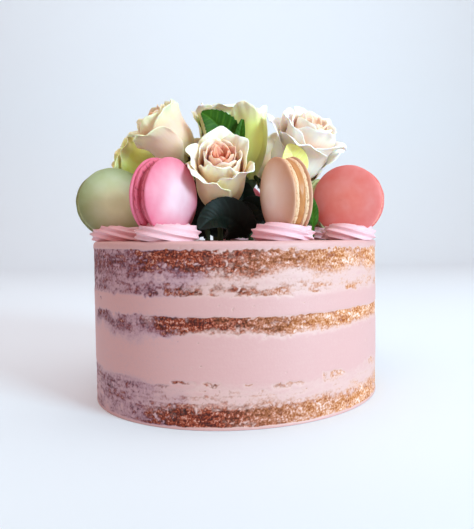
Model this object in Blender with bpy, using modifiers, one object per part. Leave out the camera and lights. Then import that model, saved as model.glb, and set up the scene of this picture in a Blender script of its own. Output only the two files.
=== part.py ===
"""Naked cake: three sponge layers, two fillings and an icing cap, with macarons on
piped rosettes round the rim and a posy of fresh roses in the middle of the top.

The origin is the centre of the cake's foot, +Z is up and the front faces -Y.
"""

import math

import bmesh
import bpy
import numpy as np
from mathutils import Matrix, Vector

MM = 0.001

# Cake
CAKE_RADIUS = 89.0 * MM
SPONGE_HEIGHT = 25.0 * MM
FILLING_HEIGHT = 8.0 * MM
CAP_HEIGHT = 4.0 * MM
CAP_EDGE = 2.2 * MM
CRUMB_DEPTH = 0.7 * MM
CAKE_SIDES = 48
GAP = 0.3 * MM

# Macarons
SHELL_RADIUS = 21.0 * MM
SHELL_HEIGHT = 8.0 * MM
FOOT_HEIGHT = 1.1 * MM
FOOT_RADIUS = 20.4 * MM
FOOT_TAPER = 0.6 * MM
# Reach and rise of the lid's points, as shares of the shell's radius and height
LID_SECTION = ((0.0, 1.0), (0.72, 0.86), (0.975, 0.56), (0.987, 0.17))
CREAM_HEIGHT = 3.0 * MM
MACARON_SIDES = 16

# Piped rosettes
ROSETTE_RADIUS = 17.5 * MM
ROSETTE_HEIGHT = 8.0 * MM
ROSETTE_RIDGES = 7
RIDGE_DEPTH = 1.3 * MM

# Roses
PETALS = 22
PETAL_THICKNESS = 1.0 * MM
PETAL_ROOT = 2.5 * MM
PETAL_START = 0.40
PETAL_TUCK = 2.2 * MM
PETAL_COLUMNS = 4
PETAL_ROWS = 4
PETAL_SPREAD = 0.82
HEART_SIDES = 8
CALYX_DEPTH = 3.0 * MM
STEM_RADIUS = 1.9 * MM
STEM_STRAIGHT = 4.0 * MM
STEM_STEPS = 4
GOLDEN_ANGLE = math.radians(137.5)

# Leaves
LEAF_THICKNESS = 0.7 * MM
LEAF_STALK = 1.8 * MM
LEAF_FOLD = 0.25
LEAF_CLEAR = 1.2 * MM
LEAF_ROWS = 7
LEAF_COLUMNS = 3

CAKE_TOP = 3 * SPONGE_HEIGHT + 2 * FILLING_HEIGHT + CAP_HEIGHT

# name, centre x y z, turn of the face about the vertical, lean, radius of the cream,
# rosette x y (mm, degrees)
MACARONS = (
    ("green", (-75.6, -14.0, 118.0), 24, -3, 18.8, (-72.0, -14.0)),
    ("pink", (-38.6, -61.5, 118.3), 57, 2, 18.4, (-37.2, -62.5)),
    ("beige", (25.6, -63.0, 119.0), -68, 4, 19.8, (24.0, -65.0)),
    ("coral", (66.5, -34.0, 118.3), -24, 0, 18.8, (65.4, -35.0)),
    ("back_right", (64.0, 37.0, 118.6), -130, 2, 18.8, (63.0, 36.4)),
    ("back", (0.0, 72.0, 119.0), 170, -2, 18.8, (0.0, 71.0)),
    ("back_left", (-62.0, 42.0, 118.8), 130, 2, 18.8, (-61.0, 41.3)),
)

MACARON_COLOURS = {
    "green": "B9BC8A",
    "pink": "F0A6C4",
    "beige": "EBC9A4",
    "coral": "E27A72",
    "back_right": "B9BC8A",
    "back": "F0A6C4",
    "back_left": "EBC9A4",
}

# name, base x y z, tilt from upright, heading of the tilt (0 right, 90 back, 270 front), radius,
# length, openness, flare of the open petals, turn of the petals, foot of the stem x y, open petals
# (mm, degrees)
ROSES = (
    ("front", (-10.6, -26.1, 112.6), 41, 274, 13.7, 50, 0.37, 44, 310, (-11.0, -18.0), 5),
    ("left", (-31.5, -4.0, 146.0), 42, 204, 14.4, 39, 0.46, 70, 20, (-20.0, 2.0), 5),
    ("top", (-9.1, 20.9, 157.2), 6, 259, 17.2, 39.0, 0.55, 96, 150, (-7.0, 18.0), 4),
    ("right", (33.0, -12.0, 135.0), 38, 308, 17.5, 44, 0.70, 105, 215, (24.0, -6.0), 5),
    ("centre", (8.0, -10.0, 133.0), 4, 300, 10.5, 46, 0.15, 40, 300, (8.0, -8.0), 4),
    ("low_left", (-50.5, 14.5, 138.5), 70, 181, 12.7, 34, 0.72, 105, 115, (-38.0, 16.0), 4),
    ("back_left", (-24.0, 37.0, 128.0), 38, 118, 18.5, 41, 0.55, 85, 70, (-16.0, 30.0), 3),
    ("back_right", (25.0, 30.0, 130.0), 38, 58, 18.5, 41, 0.55, 85, 190, (17.0, 25.0), 3),
)

# name, foot x y, bend x y z, tip x y z,
# way the blade faces, width, share of stalk, colour (mm)
LEAVES = (
    ("behind_front", (-4.0, -15.0), (7.0, -24.0, 158.0), (-21.0, -27.0, 171.0),
     (0.1, -1.0, 0.1), 20, 0.52, "3C7A2A"),
    ("small_top", (1.5, -17.5), (-3.0, -25.5, 140.0), (3.5, -29.0, 167.0),
     (0.0, -1.0, 0.0), 5, 0.66, "3C7A2A"),
    ("under_left", (5.0, -41.0), (-6.0, -50.0, 117.5), (-20.5, -64.0, 101.0),
     (-0.3, -1.0, 0.1), 22, 0.05, "1F3A1E"),
    ("under_right", (-5.0, -34.8), (3.0, -38.8, 116.0), (12.5, -43.3, 104.5),
     (0.35, -1.0, 0.0), 18, 0.05, "1F3A1E"),
    ("under_behind", (-20.0, -12.0), (-23.0, -20.0, 118.0), (-26.0, -25.0, 134.0),
     (0.1, -1.0, 0.0), 20, 0.20, "1F3A1E"),
    ("under_middle", (1.5, -11.5), (2.0, -14.5, 116.0), (5.0, -16.5, 132.0),
     (0.0, -1.0, 0.0), 22, 0.20, "1F3A1E"),
    ("under_far", (5.5, -24.5), (8.0, -28.5, 119.0), (16.5, -37.5, 110.0),
     (0.1, -1.0, 0.1), 20, 0.15, "1F3A1E"),
    ("inner_left", (-26.5, 7.5), (-28.0, 7.0, 116.0), (-25.0, 5.5, 128.0),
     (0.1, -1.0, 0.0), 21, 0.02, "1F3A1E"),
    ("inner_middle", (-11.5, 12.5), (-12.0, 12.5, 118.0), (-9.0, 12.0, 130.0),
     (0.0, -1.0, 0.0), 22, 0.02, "1F3A1E"),
    ("inner_right", (4.0, 7.0), (4.5, 6.5, 116.0), (3.0, 5.5, 126.0),
     (0.0, -1.0, 0.0), 22, 0.02, "1F3A1E"),
    ("inner_far", (19.0, 12.0), (18.0, 11.5, 116.0), (20.0, 11.0, 126.0),
     (-0.1, -1.0, 0.0), 20, 0.02, "1F3A1E"),
    ("right_gap", (43.5, -40.0), (44.5, -42.0, 108.0), (42.5, -44.0, 120.0),
     (0.3, -1.0, 0.0), 5, 0.30, "3C7A2A"),
    ("guard_right", (40.0, -42.0), (36.0, -41.0, 138.0), (29.0, -44.0, 150.0),
     (0.1, -1.0, 0.2), 14, 0.50, "B9C765"),
    ("back_right", (21.0, 36.0), (29.0, 50.0, 117.0), (37.0, 63.0, 104.0),
     (0.4, 0.7, 0.8), 20, 0.20, "2F5A22"),
    ("back_left", (-21.0, 40.0), (-27.0, 52.0, 117.0), (-33.0, 66.0, 104.0),
     (-0.4, 0.7, 0.8), 18, 0.20, "2F5A22"),
    ("back_middle", (4.0, 36.0), (6.0, 46.0, 122.0), (10.0, 57.0, 112.0),
     (0.0, 0.8, 0.8), 18, 0.20, "2F5A22"),
    ("side_right", (38.0, 0.0), (54.0, 0.0, 118.0), (77.0, -1.0, 105.0),
     (0.2, 0.0, 1.0), 22, 0.20, "2F5A22"),
    ("side_left", (-42.0, 6.0), (-56.0, 9.0, 116.0), (-78.0, 13.0, 105.0),
     (-0.2, 0.0, 1.0), 15, 0.20, "2F5A22"),
)


def linear(hex_colour):
    """The linear colour of an sRGB hex value."""
    channels = [int(hex_colour[i:i + 2], 16) / 255 for i in (0, 2, 4)]
    curve = [c / 12.92 if c <= 0.04045 else ((c + 0.055) / 1.055) ** 2.4 for c in channels]
    return (*curve, 1.0)


def material(name, hex_colour, roughness):
    """A plain dielectric material."""
    made = bpy.data.materials.get(name)
    if made is None:
        made = bpy.data.materials.new(name)
        made.use_nodes = True
        shader = made.node_tree.nodes["Principled BSDF"]
        shader.inputs["Base Color"].default_value = linear(hex_colour)
        shader.inputs["Roughness"].default_value = roughness
        shader.inputs["Metallic"].default_value = 0.0
        made.diffuse_color = linear(hex_colour)
    return made


def new_collection(name):
    """An empty collection linked to the scene."""
    collection = bpy.data.collections.new(name)
    bpy.context.scene.collection.children.link(collection)
    return collection


def add_object(name, mesh, collection, finish=None):
    """An object for a mesh, shaded smooth, with its material."""
    made = bpy.data.objects.new(name, mesh)
    if finish is not None:
        mesh.materials.clear()
        mesh.materials.append(finish)
    collection.objects.link(made)
    return made


def smooth(mesh, degrees=40):
    """Shade a mesh smooth, with its hard edges kept."""
    mesh.shade_smooth()
    mesh.set_sharp_from_angle(angle=math.radians(degrees))


def baked(source):
    """A mesh of an object as its modifiers leave it, in world space."""
    bpy.context.view_layer.update()
    evaluated = source.evaluated_get(bpy.context.evaluated_depsgraph_get())
    mesh = bpy.data.meshes.new_from_object(evaluated)
    mesh.transform(source.matrix_world)
    return mesh


def smoothstep(low, high, values):
    """0 below low, 1 above high, and a smooth ramp between."""
    ramp = np.clip((values - low) / (high - low), 0.0, 1.0)
    return ramp * ramp * (3.0 - 2.0 * ramp)


def grid_mesh(name, points):
    """An open sheet of triangles through a grid of points (rows, columns, 3)."""
    rows, columns = points.shape[:2]
    index = np.arange(rows * columns).reshape(rows, columns)
    a, b = index[:-1, :-1], index[:-1, 1:]
    c, d = index[1:, 1:], index[1:, :-1]
    lower = np.stack([a, b, c], axis=-1).reshape(-1, 3)
    upper = np.stack([a, c, d], axis=-1).reshape(-1, 3)
    mesh = bpy.data.meshes.new(name)
    mesh.from_pydata(points.reshape(-1, 3).tolist(), [], np.concatenate([lower, upper]).tolist())
    return mesh


def closed_mesh(name, rings, bottom, top):
    """A closed solid through rings of points (rings, sides, 3), from its bottom to its top pole."""
    count, sides = rings.shape[:2]
    index = np.arange(count * sides).reshape(count, sides)
    after = np.roll(index, -1, axis=1)
    wall = np.stack([index[:-1], after[:-1], after[1:], index[1:]], axis=-1).reshape(-1, 4)
    low, high = count * sides, count * sides + 1
    foot = np.stack([after[0], index[0], np.full(sides, low)], axis=-1)
    head = np.stack([index[-1], after[-1], np.full(sides, high)], axis=-1)
    points = np.concatenate([rings.reshape(-1, 3), [bottom, top]])
    mesh = bpy.data.meshes.new(name)
    mesh.from_pydata(points.tolist(), [], wall.tolist() + foot.tolist() + head.tolist())
    return mesh


def crumb_relief(angle, height, seed):
    """Depth of the torn crumb at an angle and height: a sum of sines, from 0 to 1."""
    waves = np.random.default_rng(seed).uniform(0.0, 2.0 * math.pi, 4)
    relief = np.sin(7 * angle + waves[0]) + np.sin(13 * angle + 400 * height + waves[1])
    relief += np.sin(23 * angle - 300 * height + waves[2]) + np.sin(29 * angle + waves[3])
    return (relief + 4.0) / 8.0


def make_sponge(name, low, collection, seed):
    """A sponge layer: a cylinder cut into four rows, its side torn by the crumb relief."""
    shape = bmesh.new()
    height = SPONGE_HEIGHT - GAP
    bmesh.ops.create_cone(shape, cap_ends=True, segments=CAKE_SIDES, depth=height,
                          radius1=CAKE_RADIUS, radius2=CAKE_RADIUS)
    upright = [e for e in shape.edges if abs(e.verts[0].co.z - e.verts[1].co.z) > height / 2]
    bmesh.ops.subdivide_edges(shape, edges=upright, cuts=1)
    for vert in shape.verts:
        angle = math.atan2(vert.co.y, vert.co.x)
        inset = CRUMB_DEPTH * float(crumb_relief(angle, vert.co.z, seed))
        vert.co.xy *= 1.0 - inset / CAKE_RADIUS
    mesh = bpy.data.meshes.new(name)
    shape.to_mesh(mesh)
    shape.free()
    smooth(mesh)
    layer = add_object(name, mesh, collection, material("sponge", "C98A58", 0.95))
    layer.location.z = low + height / 2
    return layer


def make_filling(name, low, collection):
    """A band of filling: a plain disc, flush with the scraped side."""
    mesh = bpy.data.meshes.new(name)
    shape = bmesh.new()
    bmesh.ops.create_cone(shape, cap_ends=True, segments=CAKE_SIDES, depth=FILLING_HEIGHT - GAP,
                          radius1=CAKE_RADIUS, radius2=CAKE_RADIUS)
    shape.to_mesh(mesh)
    shape.free()
    smooth(mesh)
    band = add_object(name, mesh, collection, material("buttercream", "EDBFC2", 0.55))
    band.location.z = low + (FILLING_HEIGHT - GAP) / 2
    return band


def profile_mesh(name, points):
    """A line of points in the XZ plane, for a Screw modifier."""
    mesh = bpy.data.meshes.new(name)
    edges = [(i, i + 1) for i in range(len(points) - 1)]
    mesh.from_pydata([(x, 0.0, z) for x, z in points], edges, [])
    return mesh


def add_screw(turned, steps):
    """Turn a profile once round the Z axis."""
    screw = turned.modifiers.new("turn", "SCREW")
    screw.steps = steps
    screw.render_steps = steps
    screw.use_merge_vertices = True
    screw.merge_threshold = 0.00001


def make_cap(collection):
    """The icing cap: a turned disc whose upper edge is a quarter round."""
    low = CAKE_TOP - CAP_HEIGHT
    arc = [math.radians(a) for a in (90, 35)]
    edge = [(CAKE_RADIUS - CAP_EDGE + CAP_EDGE * math.cos(a), CAKE_TOP - CAP_EDGE + CAP_EDGE * math.sin(a))
            for a in arc]
    points = [(0.0, CAKE_TOP)] + edge + [(CAKE_RADIUS, low), (0.0, low)]
    cap = add_object("icing_top", profile_mesh("icing_top", points), collection,
                     material("buttercream", "EDBFC2", 0.55))
    add_screw(cap, CAKE_SIDES)
    cap.data.shade_smooth()
    return cap


def make_cake(collection):
    """The six layers, stacked from the foot with a hairline between them."""
    level = 0.0
    seeds = {"bottom": 1, "middle": 2, "top": 3}
    for layer, filling in (("bottom", "lower"), ("middle", "upper"), ("top", None)):
        make_sponge(f"sponge_{layer}", level, collection, seeds[layer])
        level += SPONGE_HEIGHT
        if filling:
            make_filling(f"filling_{filling}", level, collection)
            level += FILLING_HEIGHT
    make_cap(collection)


def shell_profile():
    """Half section of a macaron shell: a domed lid above a slightly narrower foot."""
    lid = [(reach * SHELL_RADIUS, rise * SHELL_HEIGHT) for reach, rise in LID_SECTION]
    foot = [(FOOT_RADIUS, FOOT_HEIGHT), (FOOT_RADIUS - FOOT_TAPER, 0.0), (0.0, 0.0)]
    return lid + foot


def macaron_frame(centre, turn, lean):
    """Matrix of a macaron that stands on its edge, its front face turned from the viewer."""
    place = Matrix.Translation(Vector(centre) * MM)
    heading = Matrix.Rotation(math.radians(turn), 4, "Z")
    on_edge = Matrix.Rotation(math.radians(90 + lean), 4, "X")
    return place @ heading @ on_edge


def make_macaron(name, centre, turn, lean, cream_rim, collection):
    """Two shells and the cream between them, as three solids."""
    frame = macaron_frame(centre, turn, lean)
    finish = material(f"macaron_{name}", MACARON_COLOURS[name], 0.6)
    inner = CREAM_HEIGHT / 2 + GAP
    for side, flip in (("front", 0.0), ("rear", math.pi)):
        outline = profile_mesh("shell", shell_profile())
        shell = add_object(f"macaron_{name}_{side}", outline, collection, finish)
        add_screw(shell, MACARON_SIDES)
        shell.data.shade_smooth()
        shell.matrix_world = frame @ Matrix.Rotation(flip, 4, "X") @ Matrix.Translation((0, 0, inner))
    half = CREAM_HEIGHT / 2
    rim = cream_rim * MM
    section = [(0.0, half), (rim, half), (rim, -half), (0.0, -half)]
    cream = add_object(f"macaron_{name}_cream", profile_mesh("cream", section), collection,
                       material("macaron_cream", "C98B5A", 0.6))
    add_screw(cream, MACARON_SIDES)
    cream.data.shade_smooth()
    cream.matrix_world = frame
    return frame


def make_seat(name, frame, cutters):
    """The drum, a hairline wider than the macaron, that presses its seat into a rosette."""
    shape = bmesh.new()
    thickness = 2 * (CREAM_HEIGHT / 2 + GAP + SHELL_HEIGHT) + 2 * GAP
    drum = SHELL_RADIUS + 2 * GAP
    bmesh.ops.create_cone(shape, cap_ends=True, segments=MACARON_SIDES, depth=thickness,
                          radius1=drum, radius2=drum)
    mesh = bpy.data.meshes.new(name)
    shape.to_mesh(mesh)
    shape.free()
    seat = add_object(name, mesh, cutters)
    seat.matrix_world = frame
    seat.hide_render = True
    seat.display_type = "WIRE"
    return seat


def make_rosette(name, centre, turn, frame, collection, cutters):
    """A piped rosette: a low ring of ridges that sweep round as they rise, with the seat cut in."""
    sides = 3 * ROSETTE_RIDGES
    theta = np.linspace(0.0, 2 * math.pi, sides, endpoint=False)
    rings = []
    for reach, rise in ((0.94, 0.0), (1.0, 0.35), (0.70, 1.0)):
        sweep = theta + 0.55 * rise
        ridge = np.cos(ROSETTE_RIDGES * theta)
        radius = ROSETTE_RADIUS * reach + RIDGE_DEPTH * ridge * (0.25 + 0.75 * rise) - RIDGE_DEPTH
        height = np.full(sides, CAKE_TOP + GAP + ROSETTE_HEIGHT * rise)
        height += RIDGE_DEPTH * 0.6 * ridge * rise * (1.0 - rise)
        rings.append(np.stack([radius * np.cos(sweep), radius * np.sin(sweep), height], axis=-1))
    middle = CAKE_TOP + GAP + 0.92 * ROSETTE_HEIGHT
    mesh = closed_mesh(name, np.stack(rings), (0.0, 0.0, CAKE_TOP + GAP), (0.0, 0.0, middle))
    smooth(mesh, 60)
    rosette = add_object(name, mesh, collection, material("rosette", "F0C4CC", 0.5))
    rosette.location.xy = (centre[0] * MM, centre[1] * MM)
    rosette.rotation_euler.z = math.radians(turn)
    cut = rosette.modifiers.new("seat", "BOOLEAN")
    cut.operation = "DIFFERENCE"
    cut.object = make_seat(f"seat_{name}", frame, cutters)
    return rosette


def centre_line(length, belly, bowl, lean, turn_out):
    """Distances from the axis and heights along a petal's middle, at even steps of its length.

    The heading falls evenly from the base to upright at the bowl's share of the length, which
    gives the belly its radius; above the bowl the line leans in and then turns out.
    """
    table = np.linspace(0.01, 1.7, 80)
    start = np.interp((belly - PETAL_ROOT) / (length * bowl), (1.0 - np.cos(table)) / table, table)
    steps = np.linspace(0.0, 1.1, 240)
    above = np.clip((steps - bowl) / (1.0 - bowl), 0.0, 1.3)
    rise = -lean * np.sin(0.5 * math.pi * np.minimum(above * 1.6, 1.0))
    rise += (turn_out + lean) * above ** 2
    heading = np.where(steps < bowl, start * (1.0 - steps / bowl), rise)
    pace = length * (steps[1] - steps[0])
    out = PETAL_ROOT + np.concatenate([[0.0], np.cumsum(np.sin(heading[:-1]) * pace)])
    up = np.concatenate([[0.0], np.cumsum(np.cos(heading[:-1]) * pace)])
    return steps, out, up, heading


def belly_radius(radius, age):
    """Largest radius of a petal's bowl: it grows from the heart outward."""
    return radius * (0.17 + 0.83 * age ** 0.9)


def petal_points(radius, length, age, openness, flare, angle, seed, columns, rows):
    """Grid of points of one petal, in the flower's frame.

    age runs from 0 at the heart to 1 at the outermost petal. Each petal is an arc about the
    axis that drifts outward from one edge to the other, so that neighbours overlap in a spiral.
    """
    phase = np.random.default_rng(seed).uniform(0.0, 2 * math.pi, 5)
    opened = float(smoothstep(1.0 - openness, 1.0, age))
    belly = belly_radius(radius, age)
    reach = length * (0.90 + 0.12 * age + 0.025 * math.sin(phase[0]))
    bowl = 0.66 - 0.16 * opened
    closed = (1.0 - opened) * belly / radius
    lean = math.radians(24) * closed
    turn_out = math.radians(flare) * opened ** 1.5 - math.radians(16) * closed

    across = np.linspace(-1.0, 1.0, columns)[None, :]
    along = np.linspace(PETAL_START, 1.0, rows)[:, None]
    edge = 1.0 - (0.20 + 0.06 * opened) * np.abs(across) ** 2.4 + 0.012 * np.sin(7 * across + phase[3])
    edge = edge + 0.035 * opened * np.exp(-(across / 0.2) ** 2)
    share = along * edge
    steps, out, up, heading = centre_line(reach, belly, bowl, lean, turn_out)
    rho = np.interp(share, steps, out)
    height = np.interp(share, steps, up)
    head = np.interp(share, steps, heading)

    flat = 1.0 + 0.45 * opened * smoothstep(0.50, 0.95, share)
    spread = 0.30 + 0.70 * smoothstep(0.0, 0.55, share)
    spread = spread * (1.0 + 0.12 * opened * smoothstep(0.6, 1.0, share))
    bend = PETAL_SPREAD * across * (1.30 - 0.10 * opened) / flat * spread
    bow = np.minimum(rho, belly) * flat
    drift = 0.055 * radius * bend * smoothstep(0.05, 0.45, share)
    radial = rho - bow + bow * np.cos(bend) + drift
    side = bow * np.sin(bend)

    free = smoothstep(0.45, 1.0, share)
    curl = 0.05 * reach * opened * np.abs(across) ** 3 * free
    ripple = np.sin(4.5 * across + phase[1]) + 0.5 * np.sin(9.0 * across + phase[2])
    curl = curl + reach * (0.003 + 0.015 * opened) * ripple * free ** 2
    radial = radial + curl * np.cos(head)
    height = height - curl * np.sin(head) * 0.7
    radial = radial - PETAL_TUCK * (1.0 - smoothstep(PETAL_START, PETAL_START + 0.2, share))
    x = radial * math.cos(angle) - side * math.sin(angle)
    y = radial * math.sin(angle) + side * math.cos(angle)
    return np.stack([x, y, height], axis=-1)


def petal_angle(index, turn):
    """Each petal is a golden angle on from the last."""
    return math.radians(turn) + index * GOLDEN_ANGLE


def make_heart(name, radius, length, turn):
    """The closed heart of a rose: a bowl, a shoulder that leans in, and a shallow spiral top."""
    steps, out, up, _ = centre_line(length, radius, 0.6, 0.0, 0.0)
    theta = np.linspace(0.0, 2 * math.pi, HEART_SIDES, endpoint=False)
    levels = [(0.98, share, float(np.interp(share, steps, out))) for share in (0.02, 0.22, 0.48)]
    levels += [(0.84, 0.68, radius), (0.60, 0.98, radius), (0.42, 0.94, radius)]
    rings = []
    for fill, share, girth in levels:
        radial = fill * girth * (1.0 + 0.04 * np.cos(3 * theta + 5.0 * share))
        height = np.full(HEART_SIDES, float(np.interp(share, steps, up)))
        rings.append(np.stack([radial * np.cos(theta), radial * np.sin(theta), height], axis=-1))
    bottom = (0.0, 0.0, -CALYX_DEPTH)
    top = (0.0, 0.0, float(np.interp(0.88, steps, up)))
    mesh = closed_mesh(name, np.stack(rings), bottom, top)
    mesh.transform(Matrix.Rotation(math.radians(turn), 4, "Z"))
    return mesh


def rose_frame(base, tilt, heading):
    """Matrix of a flower whose axis is tilted from upright toward a heading."""
    lean = Matrix.Rotation(math.radians(tilt), 4, "Y")
    return Matrix.Translation(Vector(base) * MM) @ Matrix.Rotation(math.radians(heading), 4, "Z") @ lean


def make_stem(frame, foot, collection):
    """The stem, from inside the calyx down to the icing, as a bevelled curve made a mesh."""
    start = frame @ Vector((0.0, 0.0, 2.0 * MM))
    below = frame @ Vector((0.0, 0.0, -9.0 * MM))
    end = Vector((foot[0] * MM, foot[1] * MM, CAKE_TOP + GAP + STEM_STRAIGHT))
    bend = Vector((end.x, end.y, 0.5 * (below.z + end.z)))
    curve = bpy.data.curves.new("stem", "CURVE")
    curve.dimensions = "3D"
    curve.bevel_depth = STEM_RADIUS
    curve.bevel_resolution = 1
    curve.use_fill_caps = True
    spline = curve.splines.new("POLY")
    spline.points.add(STEM_STEPS + 1)
    for index in range(STEM_STEPS + 1):
        t = index / STEM_STEPS
        early = start * (1 - t) ** 3 + below * 3 * t * (1 - t) ** 2
        place = early + bend * 3 * t * t * (1 - t) + end * t ** 3
        spline.points[index].co = (*place, 1.0)
    spline.points[-1].co = (end.x, end.y, CAKE_TOP + GAP, 1.0)
    holder = bpy.data.objects.new("stem", curve)
    collection.objects.link(holder)
    mesh = baked(holder)
    bpy.data.objects.remove(holder)
    return weld(mesh)


def weld(mesh):
    """Merge the points that lie together."""
    shape = bmesh.new()
    shape.from_mesh(mesh)
    bmesh.ops.remove_doubles(shape, verts=shape.verts, dist=0.01 * MM)
    bmesh.ops.recalc_face_normals(shape, faces=shape.faces)
    shape.to_mesh(mesh)
    shape.free()
    return mesh


def keep_largest(mesh):
    """Keep the outer skin of a joined solid, without sealed hollows or loose scraps."""
    shape = bmesh.new()
    shape.from_mesh(mesh)
    waiting = set(shape.verts)
    islands = []
    while waiting:
        front = [waiting.pop()]
        island = set(front)
        while front:
            near = {edge.other_vert(vert) for vert in front for edge in vert.link_edges}
            front = [vert for vert in near if vert in waiting]
            waiting.difference_update(front)
            island.update(front)
        islands.append(island)
    islands.sort(key=len)
    for island in islands[:-1]:
        bmesh.ops.delete(shape, geom=list(island), context="VERTS")
    shape.to_mesh(mesh)
    shape.free()


def union(name, meshes, finish, collection):
    """One solid from several overlapping ones, by a Boolean union on a collection."""
    pieces = new_collection(f"pieces_{name}")
    for index, mesh in enumerate(meshes[1:]):
        add_object(f"piece_{name}_{index}", mesh, pieces)
    whole = add_object(name, meshes[0], collection)
    join = whole.modifiers.new("join", "BOOLEAN")
    join.operation = "UNION"
    join.solver = "MANIFOLD"
    join.operand_type = "COLLECTION"
    join.collection = pieces
    joined = baked(whole)
    for piece in list(pieces.objects):
        bpy.data.objects.remove(piece)
    bpy.data.collections.remove(pieces)
    whole.modifiers.clear()
    keep_largest(joined)
    joined.materials.clear()
    joined.materials.append(finish)
    joined.shade_smooth()
    whole.data = joined
    return whole


def make_rose(name, base, tilt, heading, radius, length, openness, flare, turn, foot, open_petals, collection):
    """One rose: heart, open petals, calyx and stem, joined into one solid."""
    frame = rose_frame(base, tilt, heading)
    radius *= MM
    length *= MM
    heart = make_heart(f"rose_{name}", radius, length, turn)
    heart.transform(frame)
    meshes = [heart, make_stem(frame, foot, collection)]
    for index in range(PETALS - open_petals, PETALS):
        age = index / (PETALS - 1)
        points = petal_points(radius, length, age, openness, flare, petal_angle(index, turn),
                              int(turn) * 100 + index, PETAL_COLUMNS, PETAL_ROWS)
        sheet = add_object("petal", grid_mesh("petal", points), collection)
        shell = sheet.modifiers.new("thickness", "SOLIDIFY")
        shell.thickness = PETAL_THICKNESS
        shell.offset = 0.0
        mesh = baked(sheet)
        mesh.transform(frame)
        bpy.data.objects.remove(sheet)
        meshes.append(mesh)
    return union(f"rose_{name}", meshes, material("rose_petals", "EFE0BE", 0.55), collection)


def make_leaf(name, foot, bend, tip, facing, width, stalk, colour, collection):
    """A leaf: a narrow stalk that widens to a pointed wavy blade, folded along its midrib.

    Its middle is a curve from the foot on the icing through the bend to the tip.
    """
    along = np.linspace(0.0, 1.0, LEAF_ROWS)[:, None]
    start = np.array([foot[0], foot[1], 0.0]) * MM
    start[2] = CAKE_TOP + LEAF_CLEAR
    middle = np.array(bend) * MM
    end = np.array(tip) * MM
    spine = start * (1 - along) ** 2 + middle * 2 * along * (1 - along) + end * along ** 2
    ahead = 2 * (middle - start) * (1 - along) + 2 * (end - middle) * along
    ahead /= np.linalg.norm(ahead, axis=1, keepdims=True)
    side = np.cross(ahead, np.array(facing))
    side /= np.linalg.norm(side, axis=1, keepdims=True)
    face = np.cross(side, ahead)

    blade = np.clip((along - stalk) / (1.0 - stalk), 0.0, 1.0)
    half = 0.5 * LEAF_STALK + 0.5 * width * MM * np.sin(math.pi * blade ** 0.75) ** 0.85
    across = np.linspace(-1.0, 1.0, LEAF_COLUMNS)[None, :]
    lift = LEAF_FOLD * half * np.abs(across) + 0.05 * half * np.sin(9.0 * blade + 2.0 * across)
    points = spine[:, None, :] + side[:, None, :] * (half * across)[..., None]
    points = points + face[:, None, :] * lift[..., None]
    sheet = add_object(f"leaf_{name}", grid_mesh(f"leaf_{name}", points), collection,
                       material(f"leaf_{colour}", colour, 0.45))
    shell = sheet.modifiers.new("thickness", "SOLIDIFY")
    shell.thickness = LEAF_THICKNESS
    shell.offset = 0.0
    sheet.data.shade_smooth()
    return sheet


def main():
    """Build the whole cake."""
    for item in list(bpy.data.objects):
        bpy.data.objects.remove(item)
    cake = new_collection("naked_cake")
    cutters = new_collection("cutters")
    make_cake(cake)
    for name, centre, turn, lean, rim, rosette in MACARONS:
        frame = make_macaron(name, centre, turn, lean, rim, cake)
        make_rosette(f"rosette_{name}", rosette, turn, frame, cake, cutters)
    for rose in ROSES:
        make_rose(*rose, cake)
    for leaf in LEAVES:
        make_leaf(*leaf, cake)


main()
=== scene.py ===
# %% [markdown]
# # A naked cake with macarons and roses
#
# A naked cake is a stack of sponge layers with buttercream between them. More buttercream is
# spread on the side and almost all of it is scraped off again, so that the torn crumb shows
# through a thin coat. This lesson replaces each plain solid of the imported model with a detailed
# surface. Every surface is worked out with numpy in millimetres and turned to metres once, when
# its mesh is made.

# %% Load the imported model
import math

import bpy
import numpy as np
from mathutils import Matrix, Vector


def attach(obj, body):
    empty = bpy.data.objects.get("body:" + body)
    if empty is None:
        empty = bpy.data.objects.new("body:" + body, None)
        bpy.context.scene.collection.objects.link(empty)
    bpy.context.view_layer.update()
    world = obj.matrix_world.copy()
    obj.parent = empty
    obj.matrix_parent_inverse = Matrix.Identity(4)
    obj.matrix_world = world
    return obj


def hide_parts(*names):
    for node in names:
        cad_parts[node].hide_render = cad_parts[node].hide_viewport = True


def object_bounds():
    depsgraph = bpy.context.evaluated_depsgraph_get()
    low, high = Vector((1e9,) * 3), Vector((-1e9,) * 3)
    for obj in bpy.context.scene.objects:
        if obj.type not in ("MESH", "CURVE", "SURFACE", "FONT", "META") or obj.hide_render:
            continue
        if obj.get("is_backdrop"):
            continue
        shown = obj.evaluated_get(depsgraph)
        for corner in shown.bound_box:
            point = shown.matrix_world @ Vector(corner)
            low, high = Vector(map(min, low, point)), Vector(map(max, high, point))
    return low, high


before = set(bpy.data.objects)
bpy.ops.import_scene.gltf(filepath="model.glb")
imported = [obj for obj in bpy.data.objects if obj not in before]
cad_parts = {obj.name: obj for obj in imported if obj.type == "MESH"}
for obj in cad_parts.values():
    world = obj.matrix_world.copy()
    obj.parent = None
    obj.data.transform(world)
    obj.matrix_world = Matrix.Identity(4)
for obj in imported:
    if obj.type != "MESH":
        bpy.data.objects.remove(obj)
cad_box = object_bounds()
MM = 0.001
print("nodes in the packed model:", len(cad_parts))

# %% [markdown]
# ## Helpers for materials
#
# Colours are written as the hex values that a colour picker shows. The renderer works with
# linear light, so one function converts them. One small function adds any shader node and fills
# its sockets with values, colours or the outputs of other nodes. Another links outputs to the
# sockets of the material's own shader.


# %% Colour and node helpers
def linear(hex_colour):
    """Linear colour of an sRGB hex value, by the sRGB transfer curve."""
    channels = [int(hex_colour[i:i + 2], 16) / 255 for i in (0, 2, 4)]
    return (*[c / 12.92 if c <= 0.04045 else ((c + 0.055) / 1.055) ** 2.4 for c in channels], 1.0)


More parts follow.
